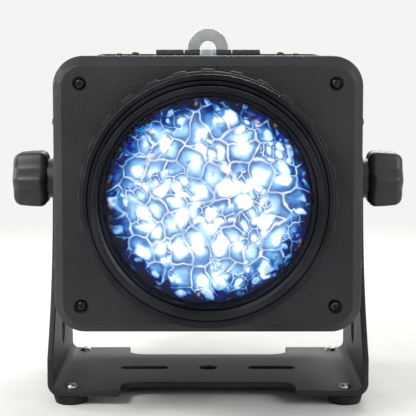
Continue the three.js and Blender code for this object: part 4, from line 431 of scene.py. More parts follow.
    # The ragged rim: a place's radius, drawn to that of its cell and moved by noise and by brightness.
    # Red, green and blue each fade out over radii of their own.
    reach = add(MIX, {"data_type": "FLOAT", 0: 0.3}, {2: radius, 3: home}).outputs[0]
    ragged = add(NOISE, {"Scale": 1 / 7, "Detail": 3.0}, {"Vector": spot})
    ragged = add(RANGE, {"To Min": -9.0, "To Max": 9.0}, {"Value": ragged})
    reach = add(MATH, {"operation": "ADD"}, {0: reach, 1: ragged})
    crest = add(MIX, {"data_type": "FLOAT"}, {0: choice, 2: wide_crest, 3: small_crest}).outputs[0]
    pull = add(RANGE, {"To Min": 2.8, "To Max": -4.2}, {"Value": crest})
    reach = add(MATH, {"operation": "ADD"}, {0: reach, 1: pull})
    rim = add(RANGE, {"data_type": "FLOAT_VECTOR", 7: (56.4, 58.4, 61.0), 8: (45.6, 47.2, 49.4),
              9: (0, 0, 0), 10: (1, 1, 1)}, {6: reach}).outputs[1]
    shown = add(VECTOR_MATH, {"operation": "MULTIPLY"}, {0: shade, 1: rim})
    # A few stray specks of painted light at the rim, blue or straw
    spots = add(VORONOI, {"voronoi_dimensions": "2D", "Scale": 1 / 7}, {"Vector": warped})
    chances = add("ShaderNodeSeparateColor", {}, {"Color": spots.outputs["Color"]})
    rare = add(RANGE, {"From Min": 0.6, "From Max": 0.95}, {"Value": chances.outputs[0]})
    spot_light = add(RANGE, {"interpolation_type": "SMOOTHSTEP", "From Min": 0.34, "From Max": 0.04},
                     {"Value": spots.outputs["Distance"]})
    spot_light = add(MATH, {"operation": "MULTIPLY"}, {0: spot_light, 1: rare})
    outside = add(RANGE, {"From Min": 50.0, "From Max": 55.0, "To Max": 0.9}, {"Value": radius})
    spot_light = add(MATH, {"operation": "MULTIPLY"}, {0: spot_light, 1: outside})
    tint = add(RAMP, {"stops": [(0.5, "#4A93F0"), (0.7, "#BF9A58")]}, {"Fac": chances.outputs[1]})
    stray = add(VECTOR_MATH, {"operation": "SCALE"}, {0: tint, "Scale": spot_light})
    shown = add(VECTOR_MATH, {"operation": "ADD"}, {0: shown, 1: stray})
    # A faint painted blue haze of glow, and the edge of the tube
    haze = add(RANGE, {"From Min": 63.0, "From Max": 50.0}, {"Value": radius})
    haze = add(VECTOR_MATH, {"operation": "SCALE", 0: colour("#061A3E")[:3]}, {"Scale": haze})
    shown = add(VECTOR_MATH, {"operation": "ADD"}, {0: shown, 1: haze})
    stop = add(RANGE, {"From Min": 62.0, "From Max": 59.0}, {"Value": radius})
    return {"Emission Color": add(VECTOR_MATH, {"operation": "SCALE"}, {0: shown, "Scale": stop})}


PAINTED = {"Specular IOR Level": 0.35}
METAL = {"Metallic": 1.0}
DARK_METAL = {"Metallic": 0.9}
COATED = material("powder_coated_sheet", PAINTED, powder_coat)
CAST = material("wrinkle_painted_casting", PAINTED, wrinkle_paint)
YOKE = material("scuffed_powder_coated_plate", PAINTED, scuffed_coat)
ANODISED = material("black_anodised_turned_aluminium", DARK_METAL, turned_anodised)
EXTRUDED = material("black_anodised_extrusion", DARK_METAL, extruded_anodised)
ALUMINIUM = material("milled_aluminium", METAL, milled_aluminium)
ZINC = material("zinc_plated_steel", METAL, zinc_plate)
NICKEL = material("nickel_plated_steel", METAL, nickel_plate)
GOLD = material("hard_gold_contacts", {**METAL, "Roughness": 0.22}, gold_plate)
OXIDE = material("black_oxide_screws", DARK_METAL, black_oxide)
PLASTIC = material("moulded_black_abs", {"Specular IOR Level": 0.5}, moulded_plastic)
SILICONE = material("moulded_grey_silicone", {"Specular IOR Level": 0.4}, button_silicone)
RUBBER = material("moulded_rubber", {"Specular IOR Level": 0.3}, moulded_rubber)
ACETAL = material("moulded_acetal", {"Subsurface Weight": 0.1, "Subsurface Scale": 2 * MM},
                  moulded_acetal)
FIBRE = material("vulcanised_fibre", {"Roughness": 0.75}, vulcanised_fibre)
GLASS = material("coated_crown_glass", {"Transmission Weight": 1.0, "IOR": 1.52,
                 "Specular Tint": "#39469C"}, polished_glass)
RIPPLED = material("pressed_rippled_glass",
                   {"Transmission Weight": 1.0, "IOR": 1.5, "Roughness": 0.03, "Base Color": "#E6F0FF"},
                   rippled_glass)
ACRYLIC = material("smoked_acrylic", {"Transmission Weight": 0.9, "IOR": 1.49,
                   "Base Color": "#7485A8"}, smoked_acrylic)
BOARD = material("solder_mask_on_circuit_board", {"Roughness": 0.35}, solder_mask)
PRINT = material("white_screen_print", {"Roughness": 0.6}, white_print)
SEGMENTS = material("lit_display_segments",
                    {"Base Color": "#000000", "Emission Strength": 3.0}, lit_segments)
# Painted light: the glow of the water ripples, on a disc that is no lamp
WATER = material("projected_water_ripples",
                 {"Base Color": "#000000", "Emission Strength": 1.5}, water_light)


# Outlines, as closed loops of points

# Points closer than this are welded
MERGE = 0.004


def polar(radius, angle, x=0.0, y=0.0):
    """The point that lies at a radius and an angle from a centre."""
    return (x + radius * math.cos(angle), y + radius * math.sin(angle))


def arc(x, y, radius, start, end, steps):
    """Points round an arc, between two angles in degrees."""
    return [polar(radius, math.radians(start + (end - start) * i / steps), x, y) for i in range(steps + 1)]


def circle(radius, steps=48, x=0.0, y=0.0):
    return arc(x, y, radius, 0, 360, steps)[:-1]


def rectangle(x0, x1, y0, y1):
    """The corners of a rectangle, or the profile of a plain ring from its bore out to its edge."""
    return [(x0, y0), (x1, y0), (x1, y1), (x0, y1)]


def past(base, *points):
    """Points of a profile, with their stations counted from a base."""
    return [(radius, base + along) for radius, along in points]


def rounded_box(half_width, half_height, corner, x=0.0, y=0.0, steps=8, along=0):
    """A rounded rectangle with a number of extra points along each side."""
    points = []
    for i, (sx, sy) in enumerate([(1, 1), (-1, 1), (-1, -1), (1, -1)]):
        centre = (x + sx * (half_width - corner), y + sy * (half_height - corner))
        points += arc(*centre, corner, 90 * i, 90 * i + 90, steps)
    if not along:
        return points
    made = []
    for i, here in enumerate(points):
        made.append(here)
        if i % (steps + 1) == steps:
            ahead = points[(i + 1) % len(points)]
            made += [(here[0] + (ahead[0] - here[0]) * k / (along + 1),
                      here[1] + (ahead[1] - here[1]) * k / (along + 1)) for k in range(1, along + 1)]
    return made


def eased(points, radius, steps=3):
    """A closed outline with its corners rounded off, each by its own radius where a list is given."""
    made = []
    for i, corner in enumerate(points):
        here = Vector(corner)
        before = Vector(points[i - 1]) - here
        after = Vector(points[(i + 1) % len(points)]) - here
        size = radius[i] if isinstance(radius, (list, tuple)) else radius
        if not size or before.length < MERGE or after.length < MERGE:
            made.append(tuple(here))
            continue
        reach = size / max(math.tan(before.angle(after) / 2), 0.1)
        reach = min(reach, 0.45 * before.length, 0.45 * after.length)
        start = here + before.normalized() * reach
        end = here + after.normalized() * reach
        for k in range(steps + 1):
            t = k / steps
            made.append(tuple(start * (1 - t) ** 2 + here * 2 * t * (1 - t) + end * t ** 2))
    return made


# Surfaces, each as its points and its faces


def joined(*surfaces):
    """Several surfaces as one, to be welded where they meet."""
    points, faces = [], []
    for more_points, more_faces in surfaces:
        start = len(points)
        points += more_points
        faces += [[start + i for i in face] for face in more_faces]
    return points, faces


def skin(rings, loop=False, caps=False):
    """A surface over closed rings of points, all of one count, which may end in caps or meet its start again."""
    count = len(rings[0])
    points = [p for ring in rings for p in ring]
    faces = []
    for level in range(len(rings) if loop else len(rings) - 1):
        low, high = level * count, (level + 1) % len(rings) * count
        faces += [[low + i, low + (i + 1) % count, high + (i + 1) % count, high + i] for i in range(count)]
    if caps:
        faces.append(list(range(count))[::-1])
        faces.append([len(points) - count + i for i in range(count)])
    return points, faces


def turned(profile, steps=96, axis="Y", x=0.0, y=0.0, z=0.0):
    """A body turned round an axis from its (radius, station) profile, a loop or a line from axis to axis."""
    is_loop = profile[0][0] > 0
    if is_loop:
        profile = [*profile, profile[0]]
    spin = {
        "X": lambda radius, along, c, s: (along, y + radius * c, z + radius * s),
        "Y": lambda radius, along, c, s: (x + radius * c, along, z + radius * s),
        "Z": lambda radius, along, c, s: (x + radius * c, y + radius * s, along),
    }[axis]
    rings = []
    for i in range(steps):
        c, s = math.cos(TURN * i / steps), math.sin(TURN * i / steps)
        rings.append([spin(radius, along, c, s) for radius, along in profile])
    points, faces = skin(rings, loop=True)
    last = len(profile) - 1
    return points, faces if is_loop else [face for face in faces if face[0] % len(profile) != last]


def along_x(u, v, w):
    return (w, u, v)


def along_y(u, v, w):
    return (u, w, v)


def along_z(u, v, w):
    return (u, v, w)


def ring_at(loop, station, place=along_y):
    return [place(u, v, station) for u, v in loop]


def lofted(levels, place=along_y, loop=False):
    """The wall over loops of one count, each given with its station."""
    return skin([ring_at(points, station, place) for points, station in levels], loop)


def wall(loop, start, end, place=along_y):
    """The straight wall that a loop sweeps from one station to another."""
    return lofted([(loop, start), (loop, end)], place)


def is_inside(point, loop):
    u, v = point
    odd = False
    for i, (u1, v1) in enumerate(loop):
        u0, v0 = loop[i - 1]
        if (v0 > v) != (v1 > v) and u < u0 + (u1 - u0) * (v - v0) / (v1 - v0):
            odd = not odd
    return odd


def triangles(outline, holes, lines=()):
    """The flat between an outline and its holes as points and triangles, with a row of points on each line."""
    points, edges = [], []
    loops = []
    for loop in [outline, *holes]:
        kept = [p for i, p in enumerate(loop) if (Vector(p) - Vector(loop[i - 1])).length > MERGE]
        loops.append(kept)
        start = len(points)
        points += kept
        edges += [(start + i, start + (i + 1) % len(kept)) for i in range(len(kept))]
    for line in lines:
        edges.append((len(points), len(points) + 1))
        points += line
    made, _, faces, *_ = delaunay_2d_cdt([Vector(p) for p in points], edges, [], 0, MERGE / 10)
    made = [tuple(p) for p in made]
    kept = []
    for face in faces:
        centre = [sum(made[i][k] for i in face) / 3 for k in (0, 1)]
        if is_inside(centre, loops[0]) and not any(is_inside(centre, hole) for hole in loops[1:]):
            kept.append(list(face))
    used = sorted({i for face in kept for i in face})
    number = {old: new for new, old in enumerate(used)}
    return [made[i] for i in used], [[number[i] for i in face] for face in kept]


def flat(outline, holes, station, place=along_y):
    """One flat face between an outline and its holes."""
    points, faces = triangles(outline, holes)
    return ring_at(points, station, place), faces


def sheet(outline, holes, thickness, place, lines=()):
    """A plate cut to an outline with holes, bent along lines by place(u, v, depth)."""
    points, faces = triangles(outline, holes, lines)
    count = len(points)
    walls = {}
    for face in faces:
        for a, b in zip(face, face[1:] + face[:1]):
            if (b, a) in walls:
                del walls[(b, a)]
            else:
                walls[(a, b)] = True
    body = ring_at(points, 0, place) + ring_at(points, thickness, place)
    sides = [[a, b, b + count, a + count] for a, b in walls]
    return body, faces + [[i + count for i in face[::-1]] for face in faces] + sides


def plate(outline, holes, low, high, place=along_y):
    """A flat plate between two stations."""
    return sheet(outline, holes, high - low, lambda u, v, w: place(u, v, low + w))


def block(x0, x1, y0, y1, z0, z1):
    return skin([ring_at(rectangle(x0, x1, y0, y1), z, along_z) for z in (z0, z1)], caps=True)


FOLD_STEPS = 10
# Half the length of a fold line, which reaches past the edge of any plate here
PAST_EDGE = 400.0


def channel(half_width, floor, bend):
    """How a flat pattern bends into a channel: place(u, v, depth), the fold lines and leg(z)."""
    flat_half = half_width - bend
    arc_length = bend * math.pi / 2

    def place(u, v, w):
        side = 1 if u > 0 else -1
        past = abs(u) - flat_half
        if past <= 0:
            return (u, v, floor + w)
        if past >= arc_length:
            return (side * (half_width - w), v, floor + bend + past - arc_length)
        angle = past / bend
        reach = bend - w
        return (side * (flat_half + reach * math.sin(angle)), v, floor + bend - reach * math.cos(angle))

    def leg(z):
        return flat_half + arc_length + z - floor - bend

    folds = [side * (flat_half + arc_length * i / FOLD_STEPS) for side in (-1, 1) for i in range(FOLD_STEPS + 1)]
    return place, [((u, -PAST_EDGE), (u, PAST_EDGE)) for u in folds], leg


# Meshes and pieces


def to_mesh(body):
    """A mesh of an editable body, which is then freed."""
    made = bpy.data.meshes.new("made")
    body.to_mesh(made)
    body.free()
    return made


def welded(surface, offset=ABOUT_PIVOT):
    """The mesh of one closed body in metres, with its doubles merged and its faces turned out."""
    points, faces = surface
    body = bmesh.new()
    corners = [body.verts.new((Vector(p) + offset) * MM) for p in points]
    for face in faces:
        body.faces.new([corners[i] for i in face])
    bmesh.ops.remove_doubles(body, verts=body.verts, dist=MERGE * MM)
    bmesh.ops.recalc_face_normals(body, faces=body.faces)
    return to_mesh(body)


def mesh_of(surfaces):
    """One mesh of several closed bodies or meshes, in its place."""
    whole = bmesh.new()
    for surface in surfaces:
        if isinstance(surface, bpy.types.Mesh):
            whole.from_mesh(surface)
            continue
        body = welded(surface)
        whole.from_mesh(body)
        bpy.data.meshes.remove(body)
    return to_mesh(whole)


def settled(holder):
    """The plain mesh of an object with its modifiers applied, which are then removed."""
    graph = bpy.context.evaluated_depsgraph_get()
    made = bpy.data.meshes.new_from_object(holder.evaluated_get(graph), depsgraph=graph)
    holder.modifiers.clear()
    return made


def piece(name, surfaces, finish, body="housing", stands_for=(), edge=0.0, keen=35):
    """One object on a body. Edges keener than that angle are rounded by the edge size, or stay sharp at none."""
    made = mesh_of(surfaces)
    made.shade_smooth()
    if not edge:
        made.set_sharp_from_angle(angle=math.radians(keen))
    holder = placed(name, made)
    if edge:
        bevel = holder.modifiers.new("edges", "BEVEL")
        bevel.width = edge * MM
        bevel.segments = 2
        bevel.limit_method = "ANGLE"
        bevel.angle_limit = math.radians(keen)
        bevel.use_clamp_overlap = False
        bevel.loop_slide = False
    evened = holder.modifiers.new("flats", "WEIGHTED_NORMAL")
    evened.keep_sharp = True
    holder.data = settled(holder)
    holder.data.name = name
    holder.data.materials.clear()
    holder.data.materials.append(finish)
    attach(holder, body)
    if stands_for:
        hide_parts(*stands_for)


def dressed(name, finish, edge, keen=50, body="housing"):
    """A copy of a node's solid with its triangles merged into faces and its edges rounded."""
    copy = bmesh.new()
    copy.from_mesh(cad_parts[name].data)
    bmesh.ops.remove_doubles(copy, verts=copy.verts, dist=MERGE * MM)
    bmesh.ops.dissolve_limit(copy, angle_limit=math.radians(0.5), verts=copy.verts, edges=copy.edges)
    piece(f"{name}_finished", [to_mesh(copy)], finish, body, [name], edge, keen)


# Geometry Nodes trees for what repeats


def blank_tree(name, sockets):
    """A tree with a geometry input and output, and these named inputs."""
    tree = bpy.data.node_groups.new(name, "GeometryNodeTree")
    tree.interface.new_socket("Geometry", in_out="OUTPUT", socket_type="NodeSocketGeometry")
    for label, kind in {"Geometry": "Geometry", **sockets, "Finish": "Material"}.items():
        tree.interface.new_socket(label, in_out="INPUT", socket_type=f"NodeSocket{kind}")
    given = tree.nodes.new("NodeGroupInput").outputs
    return tree, partial(node, tree), given


def close_tree(add, given, geometry):
    """End a tree in real geometry with its material."""
    real = add("GeometryNodeRealizeInstances", {}, {"Geometry": geometry})
    finished = add("GeometryNodeSetMaterial", {}, {"Geometry": real, "Material": given["Finish"]})
    add("NodeGroupOutput", {}, {"Geometry": finished})


def copies_round():
    """Copies of an item turned round an axis."""
    sockets = {"Count": "Int", "Axis": "Vector", "Centre": "Vector", "Spread": "Float"}
    tree, add, given = blank_tree("copies_round", sockets)
    away = add(VECTOR_MATH, {"operation": "SCALE", "Scale": -1.0}, {0: given["Centre"]})
    item = add("GeometryNodeTransform", {}, {"Geometry": given["Geometry"], "Translation": away})
    points = add("GeometryNodeMeshLine", {"Offset": (0, 0, 0)},
                 {"Count": given["Count"], "Start Location": given["Centre"]})
    share = add(MATH, {"operation": "DIVIDE"}, {0: add("GeometryNodeInputIndex"), 1: given["Count"]})
    angle = add(MATH, {"operation": "MULTIPLY"}, {0: share, 1: given["Spread"]})
    turn = add("FunctionNodeAxisAngleToRotation", {}, {"Axis": given["Axis"], "Angle": angle})
    copies = add("GeometryNodeInstanceOnPoints", {}, {"Points": points, "Instance": item, "Rotation": turn})
    close_tree(add, given, copies)
    return tree


def copies_in_row():
    """Copies of an item, each a step further on."""
    tree, add, given = blank_tree("copies_in_row", {"Count": "Int", "Step": "Vector"})
    points = add("GeometryNodeMeshLine", {}, {"Count": given["Count"], "Offset": given["Step"]})
    copies = add("GeometryNodeInstanceOnPoints", {}, {"Points": points, "Instance": given["Geometry"]})
    close_tree(add, given, copies)
    return tree


def fasteners_on_marks():
    """A fastener on each mark, facing out, with its key hollow turned at random."""
    tree, add, given = blank_tree("fasteners_on_marks", {"Fastener": "Object", "Seed": "Int"})
    item = add("GeometryNodeObjectInfo", {}, {"Object": given["Fastener"]}).outputs["Geometry"]
    facing = add("GeometryNodeInputNamedAttribute", {"data_type": "FLOAT_VECTOR", "Name": "facing"})
    size = add("GeometryNodeInputNamedAttribute", {"data_type": "FLOAT", "Name": "size"})
    out = add("FunctionNodeAlignRotationToVector", {"axis": "Z"}, {"Vector": facing})
    chance = add("FunctionNodeRandomValue", {"data_type": "FLOAT", 3: TURN}, {"Seed": given["Seed"]})
    spin = add("FunctionNodeAxisAngleToRotation", {"Axis": (0, 0, 1)}, {"Angle": chance.outputs[1]})
    turn = add("FunctionNodeRotateRotation", {"rotation_space": "LOCAL"}, {"Rotation": out, "Rotate By": spin})
    copies = add("GeometryNodeInstanceOnPoints", {}, {"Points": given["Geometry"], "Instance": item,
                 "Rotation": turn, "Scale": size})
    close_tree(add, given, copies)
    return tree


def water_on_glass():
    """Swell and dip a disc's faces like water, and leave its seats at the rim and the hub flat."""
    sockets = {"Centre": "Vector", "Ripple Size": "Float", "Ripple Height": "Float", "Seed": "Float",
               "Seat Inner": "Float", "Seat Outer": "Float", "Seat Width": "Float"}
    tree, add, given = blank_tree("water_on_glass", sockets)
    place = add("GeometryNodeInputPosition")
    offset = add(VECTOR_MATH, {"operation": "SUBTRACT"}, {0: place, 1: given["Centre"]})
    parts = add("ShaderNodeSeparateXYZ", {}, {"Vector": offset})
    spot = add("ShaderNodeCombineXYZ", {}, {"X": parts.outputs["X"], "Y": parts.outputs["Z"]})
    radius = add(VECTOR_MATH, {"operation": "LENGTH"}, {0: spot}).outputs["Value"]
    from_hub = add(MATH, {"operation": "SUBTRACT"}, {0: radius, 1: given["Seat Inner"]})
    from_rim = add(MATH, {"operation": "SUBTRACT"}, {0: given["Seat Outer"], 1: radius})
    nearest = add(MATH, {"operation": "MINIMUM"}, {0: from_hub, 1: from_rim})
    free = add(MATH, {"operation": "DIVIDE", "use_clamp": True}, {0: nearest, 1: given["Seat Width"]})
    side = add(MATH, {"operation": "SIGN"}, {0: parts.outputs["Y"]})
    phase = add(MATH, {"operation": "ADD"}, {0: given["Seed"], 1: side})
    scale = add(MATH, {"operation": "DIVIDE", 0: 1.0}, {1: given["Ripple Size"]})
    wave = add(NOISE, {"noise_dimensions": "4D", "Detail": 0.5, "Distortion": 0.6},
               {"Vector": spot, "W": phase, "Scale": scale})
    swell = add(RANGE, {"From Min": 0.25, "From Max": 0.75, "To Min": -1.0}, {"Value": wave})
    height = add(MATH, {"operation": "MULTIPLY"}, {0: swell, 1: given["Ripple Height"]})
    height = add(MATH, {"operation": "MULTIPLY"}, {0: height, 1: free})
    lift = add("ShaderNodeCombineXYZ", {}, {"Y": height})
    rippled = add("GeometryNodeSetPosition", {}, {"Geometry": given["Geometry"], "Offset": lift})
    close_tree(add, given, rippled)
    return tree


ROUND = copies_round()
ROW = copies_in_row()
ON_MARKS = fasteners_on_marks()
WATERY = water_on_glass()


def grown(tree, mesh, finish, **sizes):
    """The plain mesh that a tree makes."""
    holder = placed("grown", mesh)
    modifier = holder.modifiers.new("tree", "NODES")
    modifier.node_group = tree
    sockets = {item.name: item.identifier for item in tree.interface.items_tree
               if item.item_type == "SOCKET" and item.in_out == "INPUT"}
    for label, value in {**sizes, "Finish": finish}.items():
        modifier[sockets[label.replace("_", " ")]] = value
    holder.update_tag()
    made = settled(holder)
    bpy.data.objects.remove(holder)
    return made


def metres(x, y, z):
    """A place as a tree takes it."""
    return tuple((Vector((x, y, z)) + ABOUT_PIVOT) * MM)


def around(surfaces, finish, count, axis=(0, 1, 0), centre=(0, 0, 0), spread=360.0):
    """Copies of an item round an axis, as one mesh."""
    return grown(ROUND, mesh_of(surfaces), finish, Count=count, Axis=axis, Centre=metres(*centre),
                 Spread=math.radians(spread))


def in_row(surfaces, finish, count, step):
    """Copies of an item in a row, as one mesh."""
    return grown(ROW, mesh_of(surfaces), finish, Count=count, Step=tuple(Vector(step) * MM))


def screw_item():
    """A button head screw of 1 mm head radius, with a hex hollow, standing on Z = 0."""
    steps, top, floor, hex_reach = 24, 0.55, 0.1, 0.42
    head = [(1.0, -0.6), (1.0, 0.1375), (0.86, 0.396), (0.6, top), (0.48, top)]
    angles = [TURN * i / steps for i in range(steps)]
    rings = [[(*polar(radius, angle), z) for angle in angles] for radius, z in head]
    reaches = [hex_reach * math.cos(TURN / 12) / math.cos(angle % (TURN / 6) - TURN / 12) for angle in angles]
    rings += [[(*polar(reach, angle), z) for angle, reach in zip(angles, reaches)] for z in (top, floor)]
    return placed("screw", welded(skin(rings, caps=True), Vector((0, 0, 0))))


SCREW = screw_item()


def screws(name, marks, finish, seed, body="housing"):
    """Screws on a body, from (x, y, z), the way each faces and its head's radius."""
    mesh = bpy.data.meshes.new(name)
    mesh.from_pydata([metres(*place) for place, _, _ in marks], [], [])
    mesh.attributes.new("facing", "FLOAT_VECTOR", "POINT")
    mesh.attributes.new("size", "FLOAT", "POINT")
    for i, (_, way, radius) in enumerate(marks):
        mesh.attributes["facing"].data[i].vector = way
        mesh.attributes["size"].data[i].value = radius
    piece(name, [grown(ON_MARKS, mesh, finish, Fastener=SCREW, Seed=seed)], finish, body, keen=40)


# Stations along the lens axis and across the head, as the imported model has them

TUBE = span("lens_tube")
TUBE_FRONT, TUBE_REAR = TUBE[1]
TUBE_OUTER = TUBE[0][1]
TUBE_BORE = 66.8
GLASS_RADIUS = 66.5
COLLAR_FRONT, COLLAR_REAR = span("lens_collar")[1]
COLLAR_BORE = 70.9
COLLAR_OUTER = 73.4
# Clearance round what sits in a hole
FIT = 0.3
COLLAR_FIT = COLLAR_OUTER + FIT
RING_FRONT, RING_REAR = span("focus_ring")[1]
RING_OUTER = 78.8
FACE_FRONT, BEZEL_REAR = span("front_bezel")[1]
BEZEL_X = span("front_bezel")[0][1]
BEZEL_Z = span("front_bezel")[2][1]
BEZEL_CORNER = 19.3
HALF_X = span("top_cover")[0][1]
HALF_Z = BEZEL_Z - 3.3
SHELL_FRONT, SHELL_REAR = span("chassis")[1]
SHEET = 2.0
BEND = 16.0
PARTING = span("chassis")[2][1]
REAR_FRONT, REAR_REACH = span("rear_bezel")[1]
PANEL_FRONT, PANEL_REAR = span("rear_panel")[1]
SOCKET_FACE = PANEL_REAR + 0.3
YOKE_X = span("yoke_bracket")[0][1]
YOKE_FLOOR = span("yoke_bracket")[2][0]
YOKE_SHEET = 4.0
YOKE_HALF = span("yoke_bracket")[1][1]
LEG_END = span("yoke_bracket")[2][1]
BOSS_FACE = span("chassis")[0][1]
STUD_BORE = 5.6


# Yoke: one bent plate with its feet, friction washers, tilt scale and lobed knobs


def leg_sweep(side, leg):
    """The edge of a leg from the skirt up to the round end, on one side."""
    start = (leg(YOKE_FLOOR + 26), side * YOKE_HALF)
    pull = (leg(-62), side * LEG_END)
    end = (leg(0), side * LEG_END)
    return [tuple((1 - t) ** 2 * a + 2 * t * (1 - t) * b + t * t * c for a, b, c in zip(start, pull, end))
            for t in [i / 24 for i in range(25)]]


def yoke_plate():
    place, folds, leg = channel(YOKE_X, YOKE_FLOOR, 9.0)
    # The floor is cut back between the feet, with round inner corners
    relief_half, relief_edge, corner = 60.0, YOKE_HALF - 27.0, 13.0
    half = [(relief_half, -YOKE_HALF), *leg_sweep(-1, leg)[:-1], *arc(leg(0), 0, LEG_END, -90, 90, 36),
            *leg_sweep(1, leg)[::-1][1:], (relief_half, YOKE_HALF)]
    rear = [*arc(relief_half - corner, relief_edge + corner, corner, 0, -90, 10),
            *arc(-relief_half + corner, relief_edge + corner, corner, 270, 180, 10)]
    front = [*arc(-relief_half + corner, -relief_edge - corner, corner, 180, 90, 10),
             *arc(relief_half - corner, -relief_edge - corner, corner, 90, 0, 10)]
    outline = [*half, *rear, *[(-u, -v) for u, v in half], *front]
    slots = [rounded_box(17.0, 4.5, 4.5, side * 46.0, 0, 10) for side in (-1, 1)]
    window_half = 24.0
    window_middle = leg(YOKE_FLOOR + 22) + window_half
    windows = [rounded_box(window_half, 10.0, 10.0, side * window_middle, 0, 12) for side in (-1, 1)]
    studs = [circle(STUD_BORE, 32, side * leg(0), 0) for side in (-1, 1)]
    holes = [circle(6.5, 40), *slots, *windows, *studs]
    return sheet(outline, holes, YOKE_SHEET, place, folds)


piece("yoke_plate", [yoke_plate()], YOKE, "yoke", ["yoke_bracket"], edge=0.7)


def foot(name):
    (x0, x1), (y0, y1), (z0, z1) = span(name)
    radius = (x1 - x0) / 2
    profile = [(0, z1), (radius - 0.4, z1), (radius, z1 - 0.5), (radius - 0.2, z1 - 1.4), (radius - 1.3, z0 + 0.9),
               (radius - 2.1, z0), (radius - 5.5, z0), (radius - 6.0, z0 + 0.5), (4.2, z0 + 0.9), (4.0, z0 + 3.2),
               (0, z0 + 3.2)]
    body = turned(profile, 64, "Z", middle((x0, x1)), middle((y0, y1)))
    piece(f"{name}_rubber", [body], RUBBER, "yoke", [name], keen=50)


for corner_name in ("front_left", "front_right", "rear_left", "rear_right"):
    foot(f"foot_{corner_name}")

FOOT_X = middle(span("foot_rear_right")[0])
FOOT_Y = middle(span("foot_rear_right")[1])
foot_marks = [((sx * FOOT_X, sy * FOOT_Y, YOKE_FLOOR + YOKE_SHEET), (0, 0, 1), 4.2)
              for sx in (-1, 1) for sy in (-1, 1)]
screws("foot_screws", foot_marks, ZINC, 3, "yoke")


def washer(side, label):
    near, far = sorted(abs(x) for x in span(f"friction_washer_{label}")[0])
    profile = rectangle(STUD_BORE, 19.0, side * near, side * far)
    piece(f"fibre_washer_{label}", [turned(eased(profile, 0.3), 64, "X")], FIBRE, "yoke",
          [f"friction_washer_{label}"])


KNOB_START, KNOB_END = span("lock_knob_right")[0]
COLLAR_START = YOKE_X + 0.3
GRIP_START = COLLAR_START + 5.0


def knob(side, label):
    """A six-lobed knob with a stud, and a steel cap sunk in its end."""
    angles = [TURN * i / 120 for i in range(120)]
    lobed = [(0.0, 0.78), (0.7, 0.86), (1.8, 0.93), (3.6, 0.985), (5.2, 1.0), (12.0, 0.985), (19.0, 0.952),
             (20.6, 0.925), (22.2, 0.875), (23.3, 0.81), (24.0, 0.74)]
    crest, dip = 22.0, 4.4

    def ring(x, radius, share=0.0):
        """A ring of one radius, or a share of the lobed outline."""
        radii = [share * (crest - dip * (0.5 - 0.5 * math.cos(6 * angle)) ** 0.8) if share else radius
                 for angle in angles]
        return [(side * x, *polar(r, angle)) for r, angle in zip(radii, angles)]

    stud = [(KNOB_START, 4.6), (KNOB_START + 0.5, 5.0), (COLLAR_START, 5.0), (COLLAR_START, 13.2),
            (COLLAR_START + 0.8, 14.0), (GRIP_START - 0.3, 14.0)]
    recess = [(KNOB_END, 11.0), (KNOB_END - 0.3, 10.3), (KNOB_END - 1.0, 10.0)]
    rings = [ring(x, radius) for x, radius in stud]
    rings += [ring(GRIP_START + along, 0.0, share) for along, share in lobed]
    rings += [ring(x, radius) for x, radius in recess]
    piece(f"tilt_knob_{label}", [skin(rings, caps=True)], PLASTIC, f"lock_knob_{label}", [f"lock_knob_{label}"],
          keen=42)
    cap = [(radius, side * (KNOB_END - sunk))
           for radius, sunk in ((0, 1.3), (9.6, 1.3), (9.6, 0.7), (9.2, 0.35), (6.2, 0.2), (5.6, 0.6), (3.9, 0.6),
                                (3.5, 0.25), (0, 0.15))]
    piece(f"knob_cap_{label}", [turned(cap, 64, "X")], ZINC, f"lock_knob_{label}")


def tilt_scale(side, label):
    """Printed lines round the knob, longer every 30 degrees."""
    x0, x1 = sorted((side * YOKE_X, side * (YOKE_X + 0.06)))
    long_line = block(x0, x1, 22.9, 25.7, -0.3, 0.3)
    short_line = block(x0, x1, 24.0, 25.4, -0.2, 0.2)
    lines = [around([long_line], PRINT, 7, (1, 0, 0), spread=210.0),
             around([short_line], PRINT, 19, (1, 0, 0), spread=190.0)]
    piece(f"tilt_scale_{label}", lines, PRINT, "yoke")


SIDES = {"left": -1, "right": 1}
for side_name, way in SIDES.items():
    washer(way, side_name)
    knob(way, side_name)
for side_name, way in SIDES.items():
    tilt_scale(way, side_name)


# Chassis and top cover: bent shells with rounded vents, bosses and hinge knuckles


def spread(centre, count, pitch):
    """Places in a row about its centre."""
    return [centre + (i - (count - 1) / 2) * pitch for i in range(count)]


SINK = span("heatsink")[1]
SINK_MIDDLE = middle(SINK)
VENT_HALF = 1.5


def tray():
    place, folds, leg = channel(HALF_X, -HALF_Z, BEND)
    edge = leg(PARTING)
    outline = rectangle(-edge, edge, SHELL_FRONT, SHELL_REAR)
    vents = [rounded_box(20.0, VENT_HALF, VENT_HALF, side * leg(PARTING - 28.0), y, 6)
             for side in (-1, 1) for y in spread(SINK_MIDDLE, 5, 7.5)]
    vents += [rounded_box(VENT_HALF, 14.0, VENT_HALF, x, SHELL_FRONT + 36.0, 6) for x in spread(0.0, 6, 9.0)]
    studs = [circle(STUD_BORE, 32, side * leg(0), 0) for side in (-1, 1)]
    return sheet(outline, vents + studs, SHEET, place, folds)


def pivot_boss(side):
    near, far = HALF_X - 0.5, BOSS_FACE
    profile = [(STUD_BORE, near), (26.0, near), (26.0, HALF_X + 0.9), (25.2, HALF_X + 1.6), (21.4, far - 1.6),
               (20.0, far - 0.7), (19.3, far), (STUD_BORE + 0.6, far), (STUD_BORE, far - 0.6)]
    return turned([(r, side * x) for r, x in eased(profile, 0.5, 2)], 96, "X")


piece("chassis_tray", [tray()], COATED, stands_for=["chassis"], edge=0.3)
piece("pivot_bosses", [pivot_boss(-1), pivot_boss(1)], CAST, keen=50)

